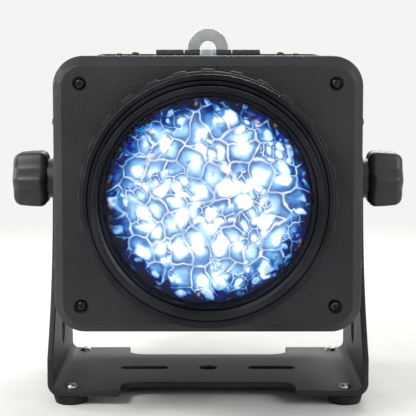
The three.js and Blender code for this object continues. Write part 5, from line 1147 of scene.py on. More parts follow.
ACCESS_Y = -11.0
HINGE_Y = 24.2
HINGE_Z = 88.41
KNUCKLE = 3.2
LATCH_Y = -47.5
DOOR_LOW, DOOR_HIGH = HALF_Z + 0.3, HALF_Z + 2.1


def cover():
    """The upper shell, bent as a channel and then turned over."""
    place, folds, leg = channel(HALF_X, -HALF_Z, BEND)
    edge = leg(-PARTING - 0.3)
    outline = rectangle(-edge, edge, SHELL_FRONT, SHELL_REAR)
    holes = [rounded_box(46.0, 27.0, 4.0, 0, ACCESS_Y, 8), circle(3.2, 24, 0, LATCH_Y)]
    holes += [rounded_box(VENT_HALF, 12.0, VENT_HALF, x, SINK_MIDDLE, 6) for x in spread(0.0, 11, 9.0)]
    points, faces = sheet(outline, holes, SHEET, place, folds)
    return [(x, y, -z) for x, y, z in points], faces


def hinge_roll(x0, x1):
    return turned(eased(rectangle(1.9, KNUCKLE, x0, x1), 0.35, 2), 40, "X", y=HINGE_Y, z=HINGE_Z)


def knuckle(x0, x1):
    """A rolled hinge knuckle with its leaf running down to the sheet."""
    leaf = block(x0 + 0.05, x1 - 0.05, HINGE_Y - 2.9, HINGE_Y + 2.9, HALF_Z - 1.0, HINGE_Z - 1.95)
    return [hinge_roll(x0, x1), leaf]


piece("cover_shell", [cover()], COATED, stands_for=["top_cover"], edge=0.3)
piece("cover_knuckles", knuckle(17.6, 37.6) + knuckle(-37.6, -17.6), COATED, keen=40)


# Access door: pressed leaf with a sunk panel, its hinge and its slotted latch


def door_leaf():
    rear = HINGE_Y - KNUCKLE - 0.6
    front = ACCESS_Y - 32.0
    corners = [(-51, rear), (-17, rear), (-17, HINGE_Y - 0.4), (17, HINGE_Y - 0.4), (17, rear), (51, rear),
               (51, front), (9, front), (9, front - 9), (-9, front - 9), (-9, front), (-51, front)]
    radii = [4, 0.8, 0.5, 0.5, 0.8, 4, 4, 3, 4, 4, 3, 4]
    outline = eased(corners, radii, 8)
    latch = circle(2.6, 24, 0, LATCH_Y)
    centre = middle((rear, front))
    step = [(rounded_box(41.0 - inset, 23.0 - inset, 6.0 - inset, 0, centre, 8), DOOR_HIGH - drop)
            for inset, drop in ((0.0, 0.0), (0.5, 0.12), (1.5, 0.68), (2.0, 0.8))]
    return joined(
        flat(outline, [step[0][0], latch], DOOR_HIGH, along_z),
        lofted(step, along_z),
        flat(step[-1][0], [], step[-1][1], along_z),
        flat(outline, [latch], DOOR_LOW, along_z),
        wall(outline, DOOR_LOW, DOOR_HIGH, along_z),
        wall(latch, DOOR_LOW, DOOR_HIGH, along_z),
    )


piece("door_leaf", [door_leaf(), hinge_roll(-17.0, 17.0)], COATED, "access_door", ["access_door"], edge=0.25, keen=50)

PIN_END = span("door_hinge_pin")[0][1]
pin_profile = [*past(-PIN_END, (0, 0), (0.9, 0), (1.4, 0.4), (1.5, 0.8)),
               *past(PIN_END, (1.5, -0.8), (1.4, -0.4), (0.9, 0), (0, 0))]
piece("hinge_pin", [turned(pin_profile, 32, "X", y=HINGE_Y, z=HINGE_Z)], ZINC, stands_for=["door_hinge_pin"])

LATCH_LOW, LATCH_TOP = span("door_latch")[2]
LATCH_SEAT = LATCH_TOP - 5.0


def latch_screw():
    """A knurled head with a screwdriver slot, on a short shank."""
    rim = eased([(0, LATCH_LOW), (2.0, LATCH_LOW), (2.0, LATCH_SEAT), (4.9, LATCH_SEAT), (5.2, LATCH_SEAT + 0.4),
                 (5.2, LATCH_TOP - 1.9), (0, LATCH_TOP - 1.9)], [0, 0.3, 0.2, 0.2, 0.2, 0, 0], 2)
    half = [(0.75, -5.0), *arc(0, 0, 5.2, -74, 74, 37), (0.75, 5.0)]
    caps = [plate([(side * u, v) for u, v in half], [], LATCH_TOP - 1.95, LATCH_TOP, along_z) for side in (-1, 1)]
    shifted = [([(x, y + LATCH_Y, z) for x, y, z in points], faces) for points, faces in caps]
    return [turned(rim, 64, "Z", 0, LATCH_Y), *shifted]


latch_rib = block(-0.28, 0.28, LATCH_Y + 4.9, LATCH_Y + 5.5, LATCH_SEAT + 0.5, LATCH_TOP - 0.5)
latch_knurl = around([latch_rib], ZINC, 36, (0, 0, 1), (0, LATCH_Y, 0))
piece("latch_screw", [*latch_screw(), latch_knurl], ZINC, "door_latch", ["door_latch"], edge=0.15, keen=50)


# Safety eye: bent steel with a rounded loop, held by two screws

_, (EYE_FRONT, EYE_REAR), (EYE_LOW, EYE_TOP) = span("safety_eye")
EYE_SHEET = 3.0
EYE_HALF = 15.0


def eye_bracket():
    """The loop and its foot, bent from one strip with a 4 mm bend."""
    bend = 4.0
    bend_length = bend * math.pi / 2
    rise = EYE_LOW + bend
    foot_length = EYE_REAR - EYE_FRONT - bend

    def place(u, v, w):
        if v >= bend_length:
            return (u, EYE_FRONT + w, rise + v - bend_length)
        if v <= 0:
            return (u, EYE_FRONT + bend - v, EYE_LOW + w)
        angle = v / bend
        reach = bend - w
        return (u, EYE_FRONT + bend - reach * math.sin(angle), rise - reach * math.cos(angle))

    loop_v = bend_length + EYE_TOP - EYE_HALF - rise
    outline = [*arc(0, loop_v, EYE_HALF, 0, 180, 32), *arc(-EYE_HALF + 3, -foot_length + 3, 3, 180, 270, 6),
               *arc(EYE_HALF - 3, -foot_length + 3, 3, 270, 360, 6)]
    folds = [((-30.0, bend_length * i / 8), (30.0, bend_length * i / 8)) for i in range(9)]
    return sheet(outline, [circle(6.0, 40, 0, loop_v)], EYE_SHEET, place, folds)


piece("safety_loop", [eye_bracket()], ZINC, stands_for=["safety_eye"], edge=0.5, keen=40)
loop_marks = [((side * 9.0, EYE_REAR - 4.6, EYE_LOW + EYE_SHEET), (0, 0, 1), 2.6) for side in (-1, 1)]
screws("safety_loop_screws", loop_marks, OXIDE, 5)


# Cast bezels


def bezel_loop(inset):
    return rounded_box(BEZEL_X - inset, BEZEL_Z - inset, max(BEZEL_CORNER - inset, 0.9), 0, 0, 14)


POCKETS = [(sx * 80.6, sz * 70.6) for sx in (-1, 1) for sz in (-1, 1)]
POCKET_RADIUS, POCKET_DEPTH = 4.6, 3.0


def front_casting():
    """The front frame: face with a lens hole and four screw pockets, chamfer, and a shadow line near the rear."""
    face_rear = FACE_FRONT + 4.0
    stations = [*past(FACE_FRONT, (6.3, 0), (5.6, 0.15), (0.7, 5.3), (0.2, 5.8), (0, 6.5)),
                *past(BEZEL_REAR, (0, -5.4), (0.6, -5.0), (0.6, -4.2), (0, -3.8), (0, -0.4), (0.4, 0), (2.7, 0),
                      (3, -0.3)), (3, face_rear)]
    mouth = [(circle(COLLAR_FIT + extra, 128), y)
             for extra, y in [*past(FACE_FRONT, (0.8, 0), (0.23, 0.2), (0, 0.8)), (0, face_rear)]]
    pockets, rims = [], []
    for x, z in POCKETS:
        levels = [(circle(radius, 40, x, z), FACE_FRONT + depth) for radius, depth in
                  ((POCKET_RADIUS + 0.3, 0.0), (POCKET_RADIUS, 0.3), (POCKET_RADIUS, POCKET_DEPTH))]
        rims.append(levels[0][0])
        pockets += [lofted(levels), flat(levels[-1][0], [], levels[-1][1])]
    return joined(
        flat(bezel_loop(6.3), [mouth[0][0], *rims], FACE_FRONT),
        lofted([(bezel_loop(inset), y) for inset, y in stations]),
        flat(bezel_loop(3), [mouth[-1][0]], face_rear),
        lofted(mouth),
        *pockets,
    )


piece("front_casting", [front_casting()], CAST, stands_for=["front_bezel"], keen=38)
screws("front_screws", [((x, FACE_FRONT + POCKET_DEPTH - 0.1, z), (0, -1, 0), 3.6) for x, z in POCKETS], OXIDE, 7)


def rear_casting():
    """The rear frame, with a long chamfer down to the lip that holds the panel."""
    straight = REAR_REACH - 14.0
    seat = 98.6
    stations = [*past(REAR_FRONT, (2.7, 0), (0.4, 0), (0, 0.4), (0, 3.6), (0.6, 4.0), (0.6, 4.8), (0, 5.2)),
                *past(straight, (0, -0.9), (0.25, -0.1), (0.8, 0.75)),
                *past(REAR_REACH, (13.3, -0.75), (14.0, -0.15), (14.8, 0), (17.8, 0), (18.2, -0.2), (18.3, -0.6),
                      (18.3, -3.0), (15.2, -3.0)), (3, seat), (3, REAR_FRONT + 0.3)]
    return lofted([(bezel_loop(inset), y) for inset, y in stations], loop=True)


piece("rear_casting", [rear_casting()], CAST, stands_for=["rear_bezel"], keen=38)
BEZEL_SCREW_Y = (-112.0, 95.0)
BEZEL_SCREW_X, BEZEL_SCREW_Z = 56.0, 46.0
SCREW_SUNK = 0.15
side_marks = []
for screw_y in BEZEL_SCREW_Y:
    side_marks += [((side * (BEZEL_X - SCREW_SUNK), screw_y, z), (side, 0, 0), 2.9)
                   for side in (-1, 1) for z in (-BEZEL_SCREW_Z, BEZEL_SCREW_Z)]
    side_marks += [((x, screw_y, side * (BEZEL_Z - SCREW_SUNK)), (0, 0, side), 2.9)
                   for side in (1, -1) for x in (-BEZEL_SCREW_X, BEZEL_SCREW_X)]
screws("bezel_screws", side_marks, OXIDE, 11)


# Lens barrel

# A band behind the focus ring has a fine groove round its middle
collar_profile = [(COLLAR_BORE, COLLAR_FRONT), (COLLAR_OUTER, COLLAR_FRONT),
                  *past(RING_REAR, (COLLAR_OUTER, 0.6), (RING_OUTER, 0.6), (RING_OUTER, 2.2), (RING_OUTER - 0.5, 2.6),
                        (RING_OUTER, 3.0), (RING_OUTER, 4.6), (COLLAR_OUTER, 4.6)),
                  (COLLAR_OUTER, COLLAR_REAR), (COLLAR_BORE, COLLAR_REAR)]
collar_body = turned(eased(collar_profile, 0.45, 2), 160)
piece("lens_collar_turned", [collar_body], ANODISED, stands_for=["lens_collar"], keen=50)

STOP_FRONT, STOP_REAR = span("ring_stop")[1]
stop_profile = rectangle(COLLAR_FIT, RING_OUTER - 1.5, STOP_FRONT, STOP_REAR)
stop_body = turned(eased(stop_profile, 0.7, 3), 160)
piece("ring_stop_turned", [stop_body], ANODISED, stands_for=["ring_stop"], keen=50)

# Stations and radii inside the sliding tube
LENS_SEAT = -153.7
PICTURE_FRONT, PICTURE_REAR = -153.5, -152.9
CONE_START, CELL_START = -103.0, -78.3
CONE_START_INSIDE, CELL_GROOVE = -106.5, -74.3
CELL_OUTER, CELL_BORE, CELL_LIP = 47.8, 44.3, 40.3
THREAD_END = -167.6


def tube_body():
    """The sliding tube: threaded mouth, lens seat, stray-light grooves, baffle and rear lens cell."""
    baffle = TUBE_FRONT + 40.0
    outside = [*past(TUBE_FRONT, (TUBE_BORE + 0.6, 0), (TUBE_OUTER - 0.5, 0), (TUBE_OUTER, 0.5), (TUBE_OUTER, 3.0),
                     (TUBE_OUTER - 0.4, 3.3), (TUBE_OUTER - 0.4, 4.3), (TUBE_OUTER, 4.6)), (TUBE_OUTER, CONE_START),
               (CELL_OUTER, CELL_START), (CELL_OUTER, TUBE_REAR), (CELL_BORE, TUBE_REAR), (CELL_BORE, CELL_GROOVE),
               (CELL_LIP, CELL_GROOVE), (CELL_LIP, CELL_START), (TUBE_BORE, CONE_START_INSIDE)]
    inside = [(TUBE_BORE, baffle + 2.0), (60.0, baffle + 2.0), (60.0, baffle), (TUBE_BORE, baffle)]

    def grooves(y, end, pitch, depth):
        """V grooves cut one after the other in the bore, from y forward to end."""
        while y > end:
            inside.extend([(TUBE_BORE, y), (TUBE_BORE + depth, y - pitch / 2), (TUBE_BORE, y - pitch)])
            y -= pitch

    grooves(baffle - 1.0, LENS_SEAT + 6.0, 1.0, 0.7)
    inside += past(LENS_SEAT, (TUBE_BORE, 4.0), (62.8, 4.0), (62.5, 3.7), (62.5, 0.3), (62.8, 0), (TUBE_BORE, 0))
    grooves(THREAD_END, TUBE_FRONT + 1.6, 0.9, 0.45)
    inside.append((TUBE_BORE, TUBE_FRONT + 0.6))
    return turned(outside + inside, 160)


piece("tube_body", [tube_body()], ANODISED, "lens", ["lens_tube"], keen=30)


def dome(radius, edge, sag, apex, sign, rings=22):
    """A lens from its flat back to its domed face, whose apex lies at the given station."""
    curve = (radius * radius + sag * sag) / (2 * sag)
    back = apex + sign * (sag + edge)

    def fall(r):
        return curve - math.sqrt(curve * curve - r * r)

    profile = [(0, back), (radius - 0.4, back), (radius, back - sign * 0.4),
               (radius, apex + sign * (fall(radius) + 0.4)), (radius - 0.3, apex + sign * (fall(radius) - 0.05))]
    profile += [(r, apex + sign * fall(r)) for r in [radius * (1 - i / rings) for i in range(1, rings + 1)]]
    return turned(profile, 128)


objective = dome(GLASS_RADIUS, 6.0, 14.0, span("front_lens")[1][0], 1)
field_lens = dome(44.0, 5.0, 9.0, span("rear_lens")[1][1], -1)
piece("objective_glass", [objective], GLASS, "lens", ["front_lens"], keen=30)
piece("field_glass", [field_lens], GLASS, "lens", ["rear_lens"], keen=30)
# A glowing disc behind the objective: painted light in place of the lamp's light through the rippled discs
picture_profile = rectangle(0, PATCH_RADIUS, PICTURE_FRONT, PICTURE_REAR)
piece("projected_picture", [turned(picture_profile, 128)], WATER, "lens")

RETAINER_FRONT, RETAINER_REAR = span("lens_retainer")[1]


def retainer():
    """A threaded ring with two notches for its spanner."""
    bore, notch = 64.4, 1.1
    inner = [polar(bore + notch if i % 60 == 0 else bore, math.radians(3 * i)) for i in range(120)]
    outer, eased_outer = circle(GLASS_RADIUS, 120), circle(GLASS_RADIUS - 0.3, 120)
    return joined(
        wall(outer, RETAINER_REAR, RETAINER_FRONT + 0.3),
        lofted([(outer, RETAINER_FRONT + 0.3), (eased_outer, RETAINER_FRONT)]),
        flat(eased_outer, [inner], RETAINER_FRONT),
        wall(inner, RETAINER_FRONT, RETAINER_REAR),
        flat(outer, [inner], RETAINER_REAR),
    )


piece("retaining_ring", [retainer()], ANODISED, "lens", ["lens_retainer"], keen=40)

GRIP_START_Y = RING_FRONT + 6.0
RING_BORE = 74.0
ring_profile = [(RING_BORE, RING_FRONT), (RING_OUTER, RING_FRONT),
                *past(GRIP_START_Y, (RING_OUTER, -0.8), (RING_OUTER - 0.7, -0.2), (RING_OUTER - 0.7, 0.4),
                      (RING_OUTER, 1.0)), (RING_OUTER, RING_REAR), (RING_BORE, RING_REAR)]
ring_body = turned(eased(ring_profile, 0.5, 3), 160)


def grip_rib():
    """One rounded rib of the focus ring, tapered at both ends."""
    rings = []
    for y, size in ((GRIP_START_Y + 1.2, 0.35), (GRIP_START_Y + 1.8, 0.8), (GRIP_START_Y + 2.8, 1.0),
                    (RING_REAR - 2.0, 1.0), (RING_REAR - 1.0, 0.8), (RING_REAR - 0.5, 0.35)):
        top = RING_OUTER - 0.4 + 1.9 * size
        half = 4.3 * (0.85 + 0.15 * size)
        rings.append([(-half, y, RING_OUTER - 0.6), (half, y, RING_OUTER - 0.6), (half - 0.2, y, top - 0.9 * size),
                      (half - 0.9, y, top - 0.2 * size), (half - 2.0, y, top), (-half + 2.0, y, top),
                      (-half + 0.9, y, top - 0.2 * size), (-half + 0.2, y, top - 0.9 * size)])
    return skin(rings, caps=True)


piece("focus_grip", [ring_body, around([grip_rib()], RUBBER, 28)], RUBBER, "focus_ring", ["focus_ring"], keen=48)
focus_line = block(-0.25, 0.25, RING_FRONT + 1.2, RING_FRONT + 4.4, RING_OUTER - 0.02, RING_OUTER + 0.05)
piece("focus_scale", [around([focus_line], PRINT, 25, spread=125.0)], PRINT, "focus_ring")
index_profile = rectangle(0, 0.8, RING_OUTER + 0.02, RING_OUTER - 0.2)
piece("focus_index", [turned(index_profile, 24, "Z", 0, RING_REAR + 1.4)], PRINT)


# Cooling fan and its guard

FAN_X, FAN_Z = centre_of("fan_frame")
FAN_CENTRE = (FAN_X, 0, FAN_Z)
FAN_FRONT, FAN_REAR = span("fan_frame")[1]
FAN_HALF = 40.0
DUCT = 38.0
ROTOR_FRONT, ROTOR_REAR = span("fan_rotor")[1]
GUARD_FRONT, GUARD_REAR = span("fan_guard")[1]
FAN_SCREW = 35.75
GUARD_RINGS = (6.3, 12.67, 19.0, 25.33, 31.7, 37.9)


def fan_body():
    """A square frame round a flared duct, with corner flanges at each face."""
    outline = rounded_box(FAN_HALF, FAN_HALF, 5.0, FAN_X, FAN_Z, 8, 6)
    duct_loops = [(DUCT + 0.9, FAN_FRONT), (DUCT + 0.2, FAN_FRONT + 2.5), (DUCT, FAN_FRONT + 6),
                  (DUCT, FAN_REAR - 5), (DUCT + 0.3, FAN_REAR - 2), (DUCT + 0.9, FAN_REAR)]
    ducts = [(circle(radius, 96, FAN_X, FAN_Z), y) for radius, y in duct_loops]
    frame_body = joined(
        flat(outline, [ducts[0][0]], FAN_FRONT),
        flat(outline, [ducts[-1][0]], FAN_REAR),
        wall(outline, FAN_FRONT, FAN_REAR),
        lofted(ducts),
    )
    section = [(FAN_REAR - 3.4, -1.6), (FAN_REAR - 0.1, -2.4), (FAN_REAR - 0.1, 2.4), (FAN_REAR - 3.4, 1.6)]
    strut = skin([[(FAN_X + x, y, FAN_Z + z) for y, z in section] for x in (14.0, DUCT + 1.5)], caps=True)
    hub_profile = past(FAN_REAR, (0, -3.5), (15.5, -3.5), (15.5, -0.6), (14.9, 0), (12.4, 0), (12.0, -0.5), (0, -0.5))
    struts = around([strut], PLASTIC, 4, centre=FAN_CENTRE)
    return [frame_body, struts, turned(hub_profile, 64, "Y", *FAN_CENTRE)]


piece("fan_housing", fan_body(), PLASTIC, stands_for=["fan_frame"], keen=40)


def fan_blade():
    """One twisted and cambered blade, thick at its root."""
    rings = []
    root, tip = 14.6, 36.7
    for share in [i / 8 for i in range(9)]:
        radius = root + (tip - root) * share
        pitch = math.radians(54 - 22 * share)
        chord = 12.6 / math.sin(pitch)
        thick = 1.5 - 0.7 * share
        ring = []
        for along, across in [(-0.5, 0), (-0.42, 0.5), (-0.2, 0.62), (0.1, 0.58), (0.36, 0.4), (0.5, 0),
                              (0.36, -0.4), (0.1, -0.42), (-0.2, -0.4), (-0.42, -0.34)]:
            bow = 1.3 * (0.25 - along * along) * 4
            u = chord * along
            v = thick * across + bow
            sideways = u * math.cos(pitch) - v * math.sin(pitch)
            deep = u * math.sin(pitch) + v * math.cos(pitch)
            angle = sideways / radius
            y = (ROTOR_FRONT + ROTOR_REAR) / 2 + max(-6.8, min(6.8, deep - 0.6))
            ring.append(along_y(*polar(radius, angle, FAN_X, FAN_Z), y))
        rings.append(ring)
    return skin(rings, caps=True)


rotor_profile = [*past(ROTOR_FRONT, (0, 0), (14.0, 0), (15.1, 0.4), (15.5, 1.4)), (15.5, ROTOR_REAR),
                 (13.8, ROTOR_REAR), *past(ROTOR_FRONT, (13.8, 2.0), (0, 2.0))]
rotor_body = turned(rotor_profile, 64, "Y", *FAN_CENTRE)
blades = around([fan_blade()], PLASTIC, 7, centre=FAN_CENTRE)
piece("fan_wheel", [rotor_body, blades], PLASTIC, "fan_rotor", ["fan_rotor"], keen=40)


def wire_ring(radius):
    """A round wire bent to a ring."""
    wire = 0.95
    centre = middle((GUARD_FRONT, GUARD_REAR))
    profile = [polar(wire, TURN * i / 12, radius, centre) for i in range(12)]
    return turned(profile, 96, "Y", *FAN_CENTRE)


def guard_bar(lift):
    """A flat diagonal bar that reaches to a screw eye at each end."""
    reach = FAN_SCREW * math.sqrt(2)
    outline = eased([(-reach + 2.6, -1.7), (reach - 2.6, -1.7), (reach - 1.0, -1.0), (reach - 1.0, 1.0),
                     (reach - 2.6, 1.7), (-reach + 2.6, 1.7), (-reach + 1.0, 1.0), (-reach + 1.0, -1.0)], 0.5, 2)
    points, faces = plate(outline, [], GUARD_FRONT + 0.05 + lift, GUARD_FRONT + 1.1 + lift)
    return [(FAN_X + x, y, FAN_Z + z) for x, y, z in points], faces


def turned_about_fan(surface, degrees):
    c, s = math.cos(math.radians(degrees)), math.sin(math.radians(degrees))
    points, faces = surface
    return [(FAN_X + (x - FAN_X) * c - (z - FAN_Z) * s, y, FAN_Z + (x - FAN_X) * s + (z - FAN_Z) * c)
            for x, y, z in points], faces


def guard_eye(x, z):
    profile = eased(rectangle(2.0, 4.3, GUARD_FRONT + 0.05, GUARD_FRONT + 1.15), 0.25, 2)
    return turned(profile, 40, "Y", FAN_X + x, 0, FAN_Z + z)


fan_corners = [(sx * FAN_SCREW, sz * FAN_SCREW) for sx in (-1, 1) for sz in (-1, 1)]
guard_parts = [wire_ring(radius) for radius in GUARD_RINGS]
guard_parts += [turned_about_fan(guard_bar(lift), degrees) for lift, degrees in ((0.0, 45), (0.2, 135))]
guard_parts += [guard_eye(x, z) for x, z in fan_corners]
piece("guard_wires", guard_parts, NICKEL, stands_for=["fan_guard"], keen=40)
fan_marks = [((FAN_X + x, GUARD_FRONT + 1.1, FAN_Z + z), (0, 1, 0), 3.1) for x, z in fan_corners]
screws("fan_screws", fan_marks, OXIDE, 13)


# Rear panel, display and buttons

DISPLAY_X, DISPLAY_Z = centre_of("display_window")
BUTTONS = [span(f"menu_button_{i}") for i in (1, 2, 3, 4)]
BUTTON_Z = middle(BUTTONS[0][2])
BUTTON_FRONT, BUTTON_TOP = BUTTONS[0][1]
DATA_IN_X, DATA_Z = centre_of("data_in_socket")
DATA_OUT_X, _ = centre_of("data_out_socket")
POWER_X, POWER_Z = centre_of("power_inlet")
FLANGE_FACE = span("power_inlet")[1][1]
# Radii and half sizes of what sits in the panel's holes
BARREL = 11.7
CAP = 4.6
WINDOW_X, WINDOW_Z = 28.0, 12.0
INLET_BOX_X, INLET_BOX_Z = 24.0, 13.0


def panel_sheet():
    (x0, x1), _, (z0, z1) = span("rear_panel")
    outline = rounded_box((x1 - x0) / 2, (z1 - z0) / 2, 3.5, 0, 0, 8)
    holes = [circle(35.5, 96, FAN_X, FAN_Z), rounded_box(WINDOW_X + FIT, WINDOW_Z + FIT, 1.2, DISPLAY_X, DISPLAY_Z),
             circle(BARREL + FIT, 64, DATA_IN_X, DATA_Z), circle(BARREL + FIT, 64, DATA_OUT_X, DATA_Z),
             rounded_box(INLET_BOX_X + FIT, INLET_BOX_Z + FIT, 1.0, POWER_X, POWER_Z)]
    holes += [circle(CAP + FIT, 40, middle(button[0]), BUTTON_Z) for button in BUTTONS]
    return plate(outline, holes, PANEL_FRONT, PANEL_REAR)


piece("panel_sheet", [panel_sheet()], COATED, stands_for=["rear_panel"], edge=0.25)
PANEL_SCREW_X, PANEL_SCREW_Z = 74.4, 64.6
panel_places = [(-PANEL_SCREW_X, PANEL_SCREW_Z), (PANEL_SCREW_X, PANEL_SCREW_Z), (-PANEL_SCREW_X, -PANEL_SCREW_Z),
                (PANEL_SCREW_X, -PANEL_SCREW_Z), (0.0, PANEL_SCREW_Z), (4.6, -PANEL_SCREW_Z)]
screws("panel_screws", [((x, PANEL_REAR, z), (0, 1, 0), 2.4) for x, z in panel_places], OXIDE, 17)


def display_plate(share, front, rear):
    """A plate in the shape of the display window, or a share of its size."""
    outline = eased(rectangle(-WINDOW_X, WINDOW_X, -WINDOW_Z, WINDOW_Z), 1.0, 4)
    return plate([(DISPLAY_X + u * share, DISPLAY_Z + v * share) for u, v in outline], [], front, rear)


piece("display_acrylic", [display_plate(1, PANEL_FRONT, PANEL_REAR)], ACRYLIC, stands_for=["display_window"],
      edge=0.3)

SEGMENT_PLACES = {"A": (0, 6, 0), "B": (3, 3, 90), "C": (3, -3, 90), "D": (0, -6, 0), "E": (-3, -3, 90),
                  "F": (-3, 3, 90), "G": (0, 0, 0)}


def digit(lit, x):
    """A seven-segment figure, drawn to be read from behind the fixture."""
    bars = []
    for name in lit:
        du, dv, turn = SEGMENT_PLACES[name]
        bar = [(-2.3, 0), (-1.6, -0.7), (1.6, -0.7), (2.3, 0), (1.6, 0.7), (-1.6, 0.7)]
        if turn:
            bar = [(-v, u) for u, v in bar]
        outline = [(x - (u + du + 0.12 * (v + dv)), DISPLAY_Z + v + dv) for u, v in bar]
        bars.append(plate(outline, [], PANEL_FRONT - 0.5, PANEL_FRONT - 0.15))
    return bars


piece("display_face", [display_plate(0.98, PANEL_FRONT - 0.8, PANEL_FRONT - 0.25)], PLASTIC)
digits = digit("ABCDEF", DISPLAY_X + 14) + digit("ABCDEF", DISPLAY_X + 3) + digit("BC", DISPLAY_X - 8)
piece("display_digits", digits, SEGMENTS)


def button_cap(x):
    profile = [*past(BUTTON_FRONT, (0, 0), (1.4, 0), (1.6, 0.3)),
               *past(PANEL_FRONT, (1.6, -1.5), (6.0, -1.5), (6.2, -1.3), (6.2, -0.4), (CAP, -0.3)),
               *past(BUTTON_TOP, (CAP, -0.9), (4.45, -0.5), (4.0, -0.15), (3.4, 0), (2.6, -0.12), (0, -0.25))]
    return turned(profile, 48, "Y", x, 0, BUTTON_Z)


ARROW = [(-1.0, -1.3), (1.5, 0.0), (-1.0, 1.3)]
GLYPHS = [ARROW, [(-u, v) for u, v in ARROW], [(v, u) for u, v in ARROW], circle(1.2, 24)]
for index, (button, glyph) in enumerate(zip(BUTTONS, GLYPHS), 1):
    x = middle(button[0])
    piece(f"button_cap_{index}", [button_cap(x)], SILICONE, f"menu_button_{index}", [f"menu_button_{index}"], keen=60)
    mark = [(x + u, BUTTON_Z + v) for u, v in glyph]
    piece(f"button_mark_{index}", [plate(mark, [], BUTTON_TOP - 0.3, BUTTON_TOP - 0.08)], PRINT,
          f"menu_button_{index}")


def printed(loops):
    """Shapes printed on the panel, each an outline with its holes."""
    return [plate(outline, holes, PANEL_REAR - 0.02, PANEL_REAR + 0.05) for outline, holes in loops]


# Printing on the panel: a frame round the display and its buttons, and arrows for light data in and out
frame_x, frame_z = DISPLAY_X, middle((BUTTONS[0][2][0], span("display_window")[2][1]))
frame_loops = [rounded_box(29.8 - inset, 23.8 - inset, 3.0 - inset, frame_x, frame_z, 6) for inset in (0.0, 0.4)]
arrow_z = DATA_Z + 18.6
arrow = [(-2.4, 1.4), (2.4, 1.4), (0.0, -1.4)]
arrow_in = [(DATA_IN_X + u, arrow_z + v) for u, v in arrow]
arrow_out = [(DATA_OUT_X + u, arrow_z - v) for u, v in arrow]
piece("panel_print", printed([(frame_loops[0], [frame_loops[1]]), (arrow_in, []), (arrow_out, [])]), PRINT)


# Data sockets, fuse drawer, rocker and mains inlet


SOCKET_DEPTH = 15.0
TAB = span("data_out_latch")
TAB_Z = middle(TAB[2])


def socket_shell(x, latch=False):
    """A die-cast flange on a barrel, hollow for the plug."""
    outline = rounded_box(13.0, 15.5, 3.0, x, DATA_Z, 8)
    mouth = [(circle(8.2 + extra, 64, x, DATA_Z), FLANGE_FACE - down)
             for extra, down in ((0.5, 0.0), (0.12, 0.12), (0.0, 0.5), (0.0, SOCKET_DEPTH))]
    barrel = circle(BARREL, 64, x, DATA_Z)
    barrel_end = SOCKET_FACE - 22.0
    tab_holes = []
    if latch:
        barrel = [(u, min(v, DATA_Z + 9.95)) for u, v in barrel]
        tab_holes.append(rectangle(x - 3.8, x + 3.8, TAB_Z - 1.8, TAB_Z + 1.8))
    return joined(
        flat(outline, [mouth[0][0], *tab_holes], FLANGE_FACE),
        wall(outline, FLANGE_FACE, SOCKET_FACE),
        lofted(mouth),
        flat(mouth[-1][0], [], FLANGE_FACE - SOCKET_DEPTH),
        wall(barrel, SOCKET_FACE, barrel_end),
        flat(barrel, [], barrel_end),
        flat(outline, [barrel, *tab_holes], SOCKET_FACE),
        *[wall(hole, FLANGE_FACE, SOCKET_FACE) for hole in tab_holes],
    )


def pin_places(x):
    """Where a socket's three pins stand on their circle."""
    return [polar(4.0, math.radians(angle), x, DATA_Z) for angle in (0, 180, 270)]


def data_pin(x, z):
    radius, low, high = 1.2, FLANGE_FACE - SOCKET_DEPTH - 0.1, FLANGE_FACE - 3.0
    profile = [(0, low), (radius, low), (radius, high - 0.8), (radius * 0.7, high - 0.2), (0, high)]
    return turned(profile, 24, "Y", x, 0, z)


piece("data_in_shell", [socket_shell(DATA_IN_X)], NICKEL, stands_for=["data_in_socket"], keen=38)
insert_profile = past(FLANGE_FACE, (0, -15.2), (8.15, -15.2), (8.15, -13.2), (7.6, -12.9), (0, -12.9))
piece("data_in_insert", [turned(insert_profile, 64, "Y", DATA_IN_X, 0, DATA_Z)], PLASTIC)
piece("data_in_pins", [data_pin(x, z) for x, z in pin_places(DATA_IN_X)], GOLD, keen=60)
piece("data_out_shell", [socket_shell(DATA_OUT_X, True)], NICKEL, stands_for=["data_out_socket"], keen=38)


def socket_core():
    """The moulded core of the output socket, with a hole for each pin of the plug."""
    holes = [circle(1.5, 24, x, z) for x, z in pin_places(DATA_OUT_X)]
    outer = circle(7.0, 64, DATA_OUT_X, DATA_Z)
    rim = circle(6.6, 64, DATA_OUT_X, DATA_Z)
    front, floor = FLANGE_FACE - 0.35, FLANGE_FACE - 14.9
    parts = [flat(rim, holes, front), lofted([(rim, front), (outer, front - 0.4), (outer, floor)]),
             flat(outer, [], floor)]
    for hole in holes:
        parts += [wall(hole, front, front - 9.0), flat(hole, [], front - 9.0)]
    return joined(*parts)


piece("data_out_core", [socket_core()], PLASTIC, keen=38)


def latch_tab():
    (x0, x1), (y0, y1), (z0, z1) = TAB
    outline = eased([(y0, z0), (y1 - 1.2, z0), (y1, z0 + 0.9), (y1, z1 - 0.7), (y1 - 0.8, z1), (y0, z1)], 0.25, 2)
    return plate(outline, [], x0, x1, along_x)


piece("data_latch_tab", [latch_tab()], NICKEL, "data_out_latch", ["data_out_latch"], edge=0.2)
socket_marks = [((x + side * 9.6, FLANGE_FACE, DATA_Z + side * 12.1), (0, 1, 0), 2.2)
                for x in (DATA_IN_X, DATA_OUT_X) for side in (-1, 1)]
socket_marks += [((POWER_X + side * 23.6, FLANGE_FACE, POWER_Z - side * 12.6), (0, 1, 0), 1.6) for side in (-1, 1)]
screws("socket_screws", socket_marks, ZINC, 19)

ROCKER_X, _ = centre_of("power_rocker")
FUSE = span("fuse_drawer")
FUSE_X = middle(FUSE[0])
INLET_X = POWER_X - 11.0
INLET_DEPTH = 16.0


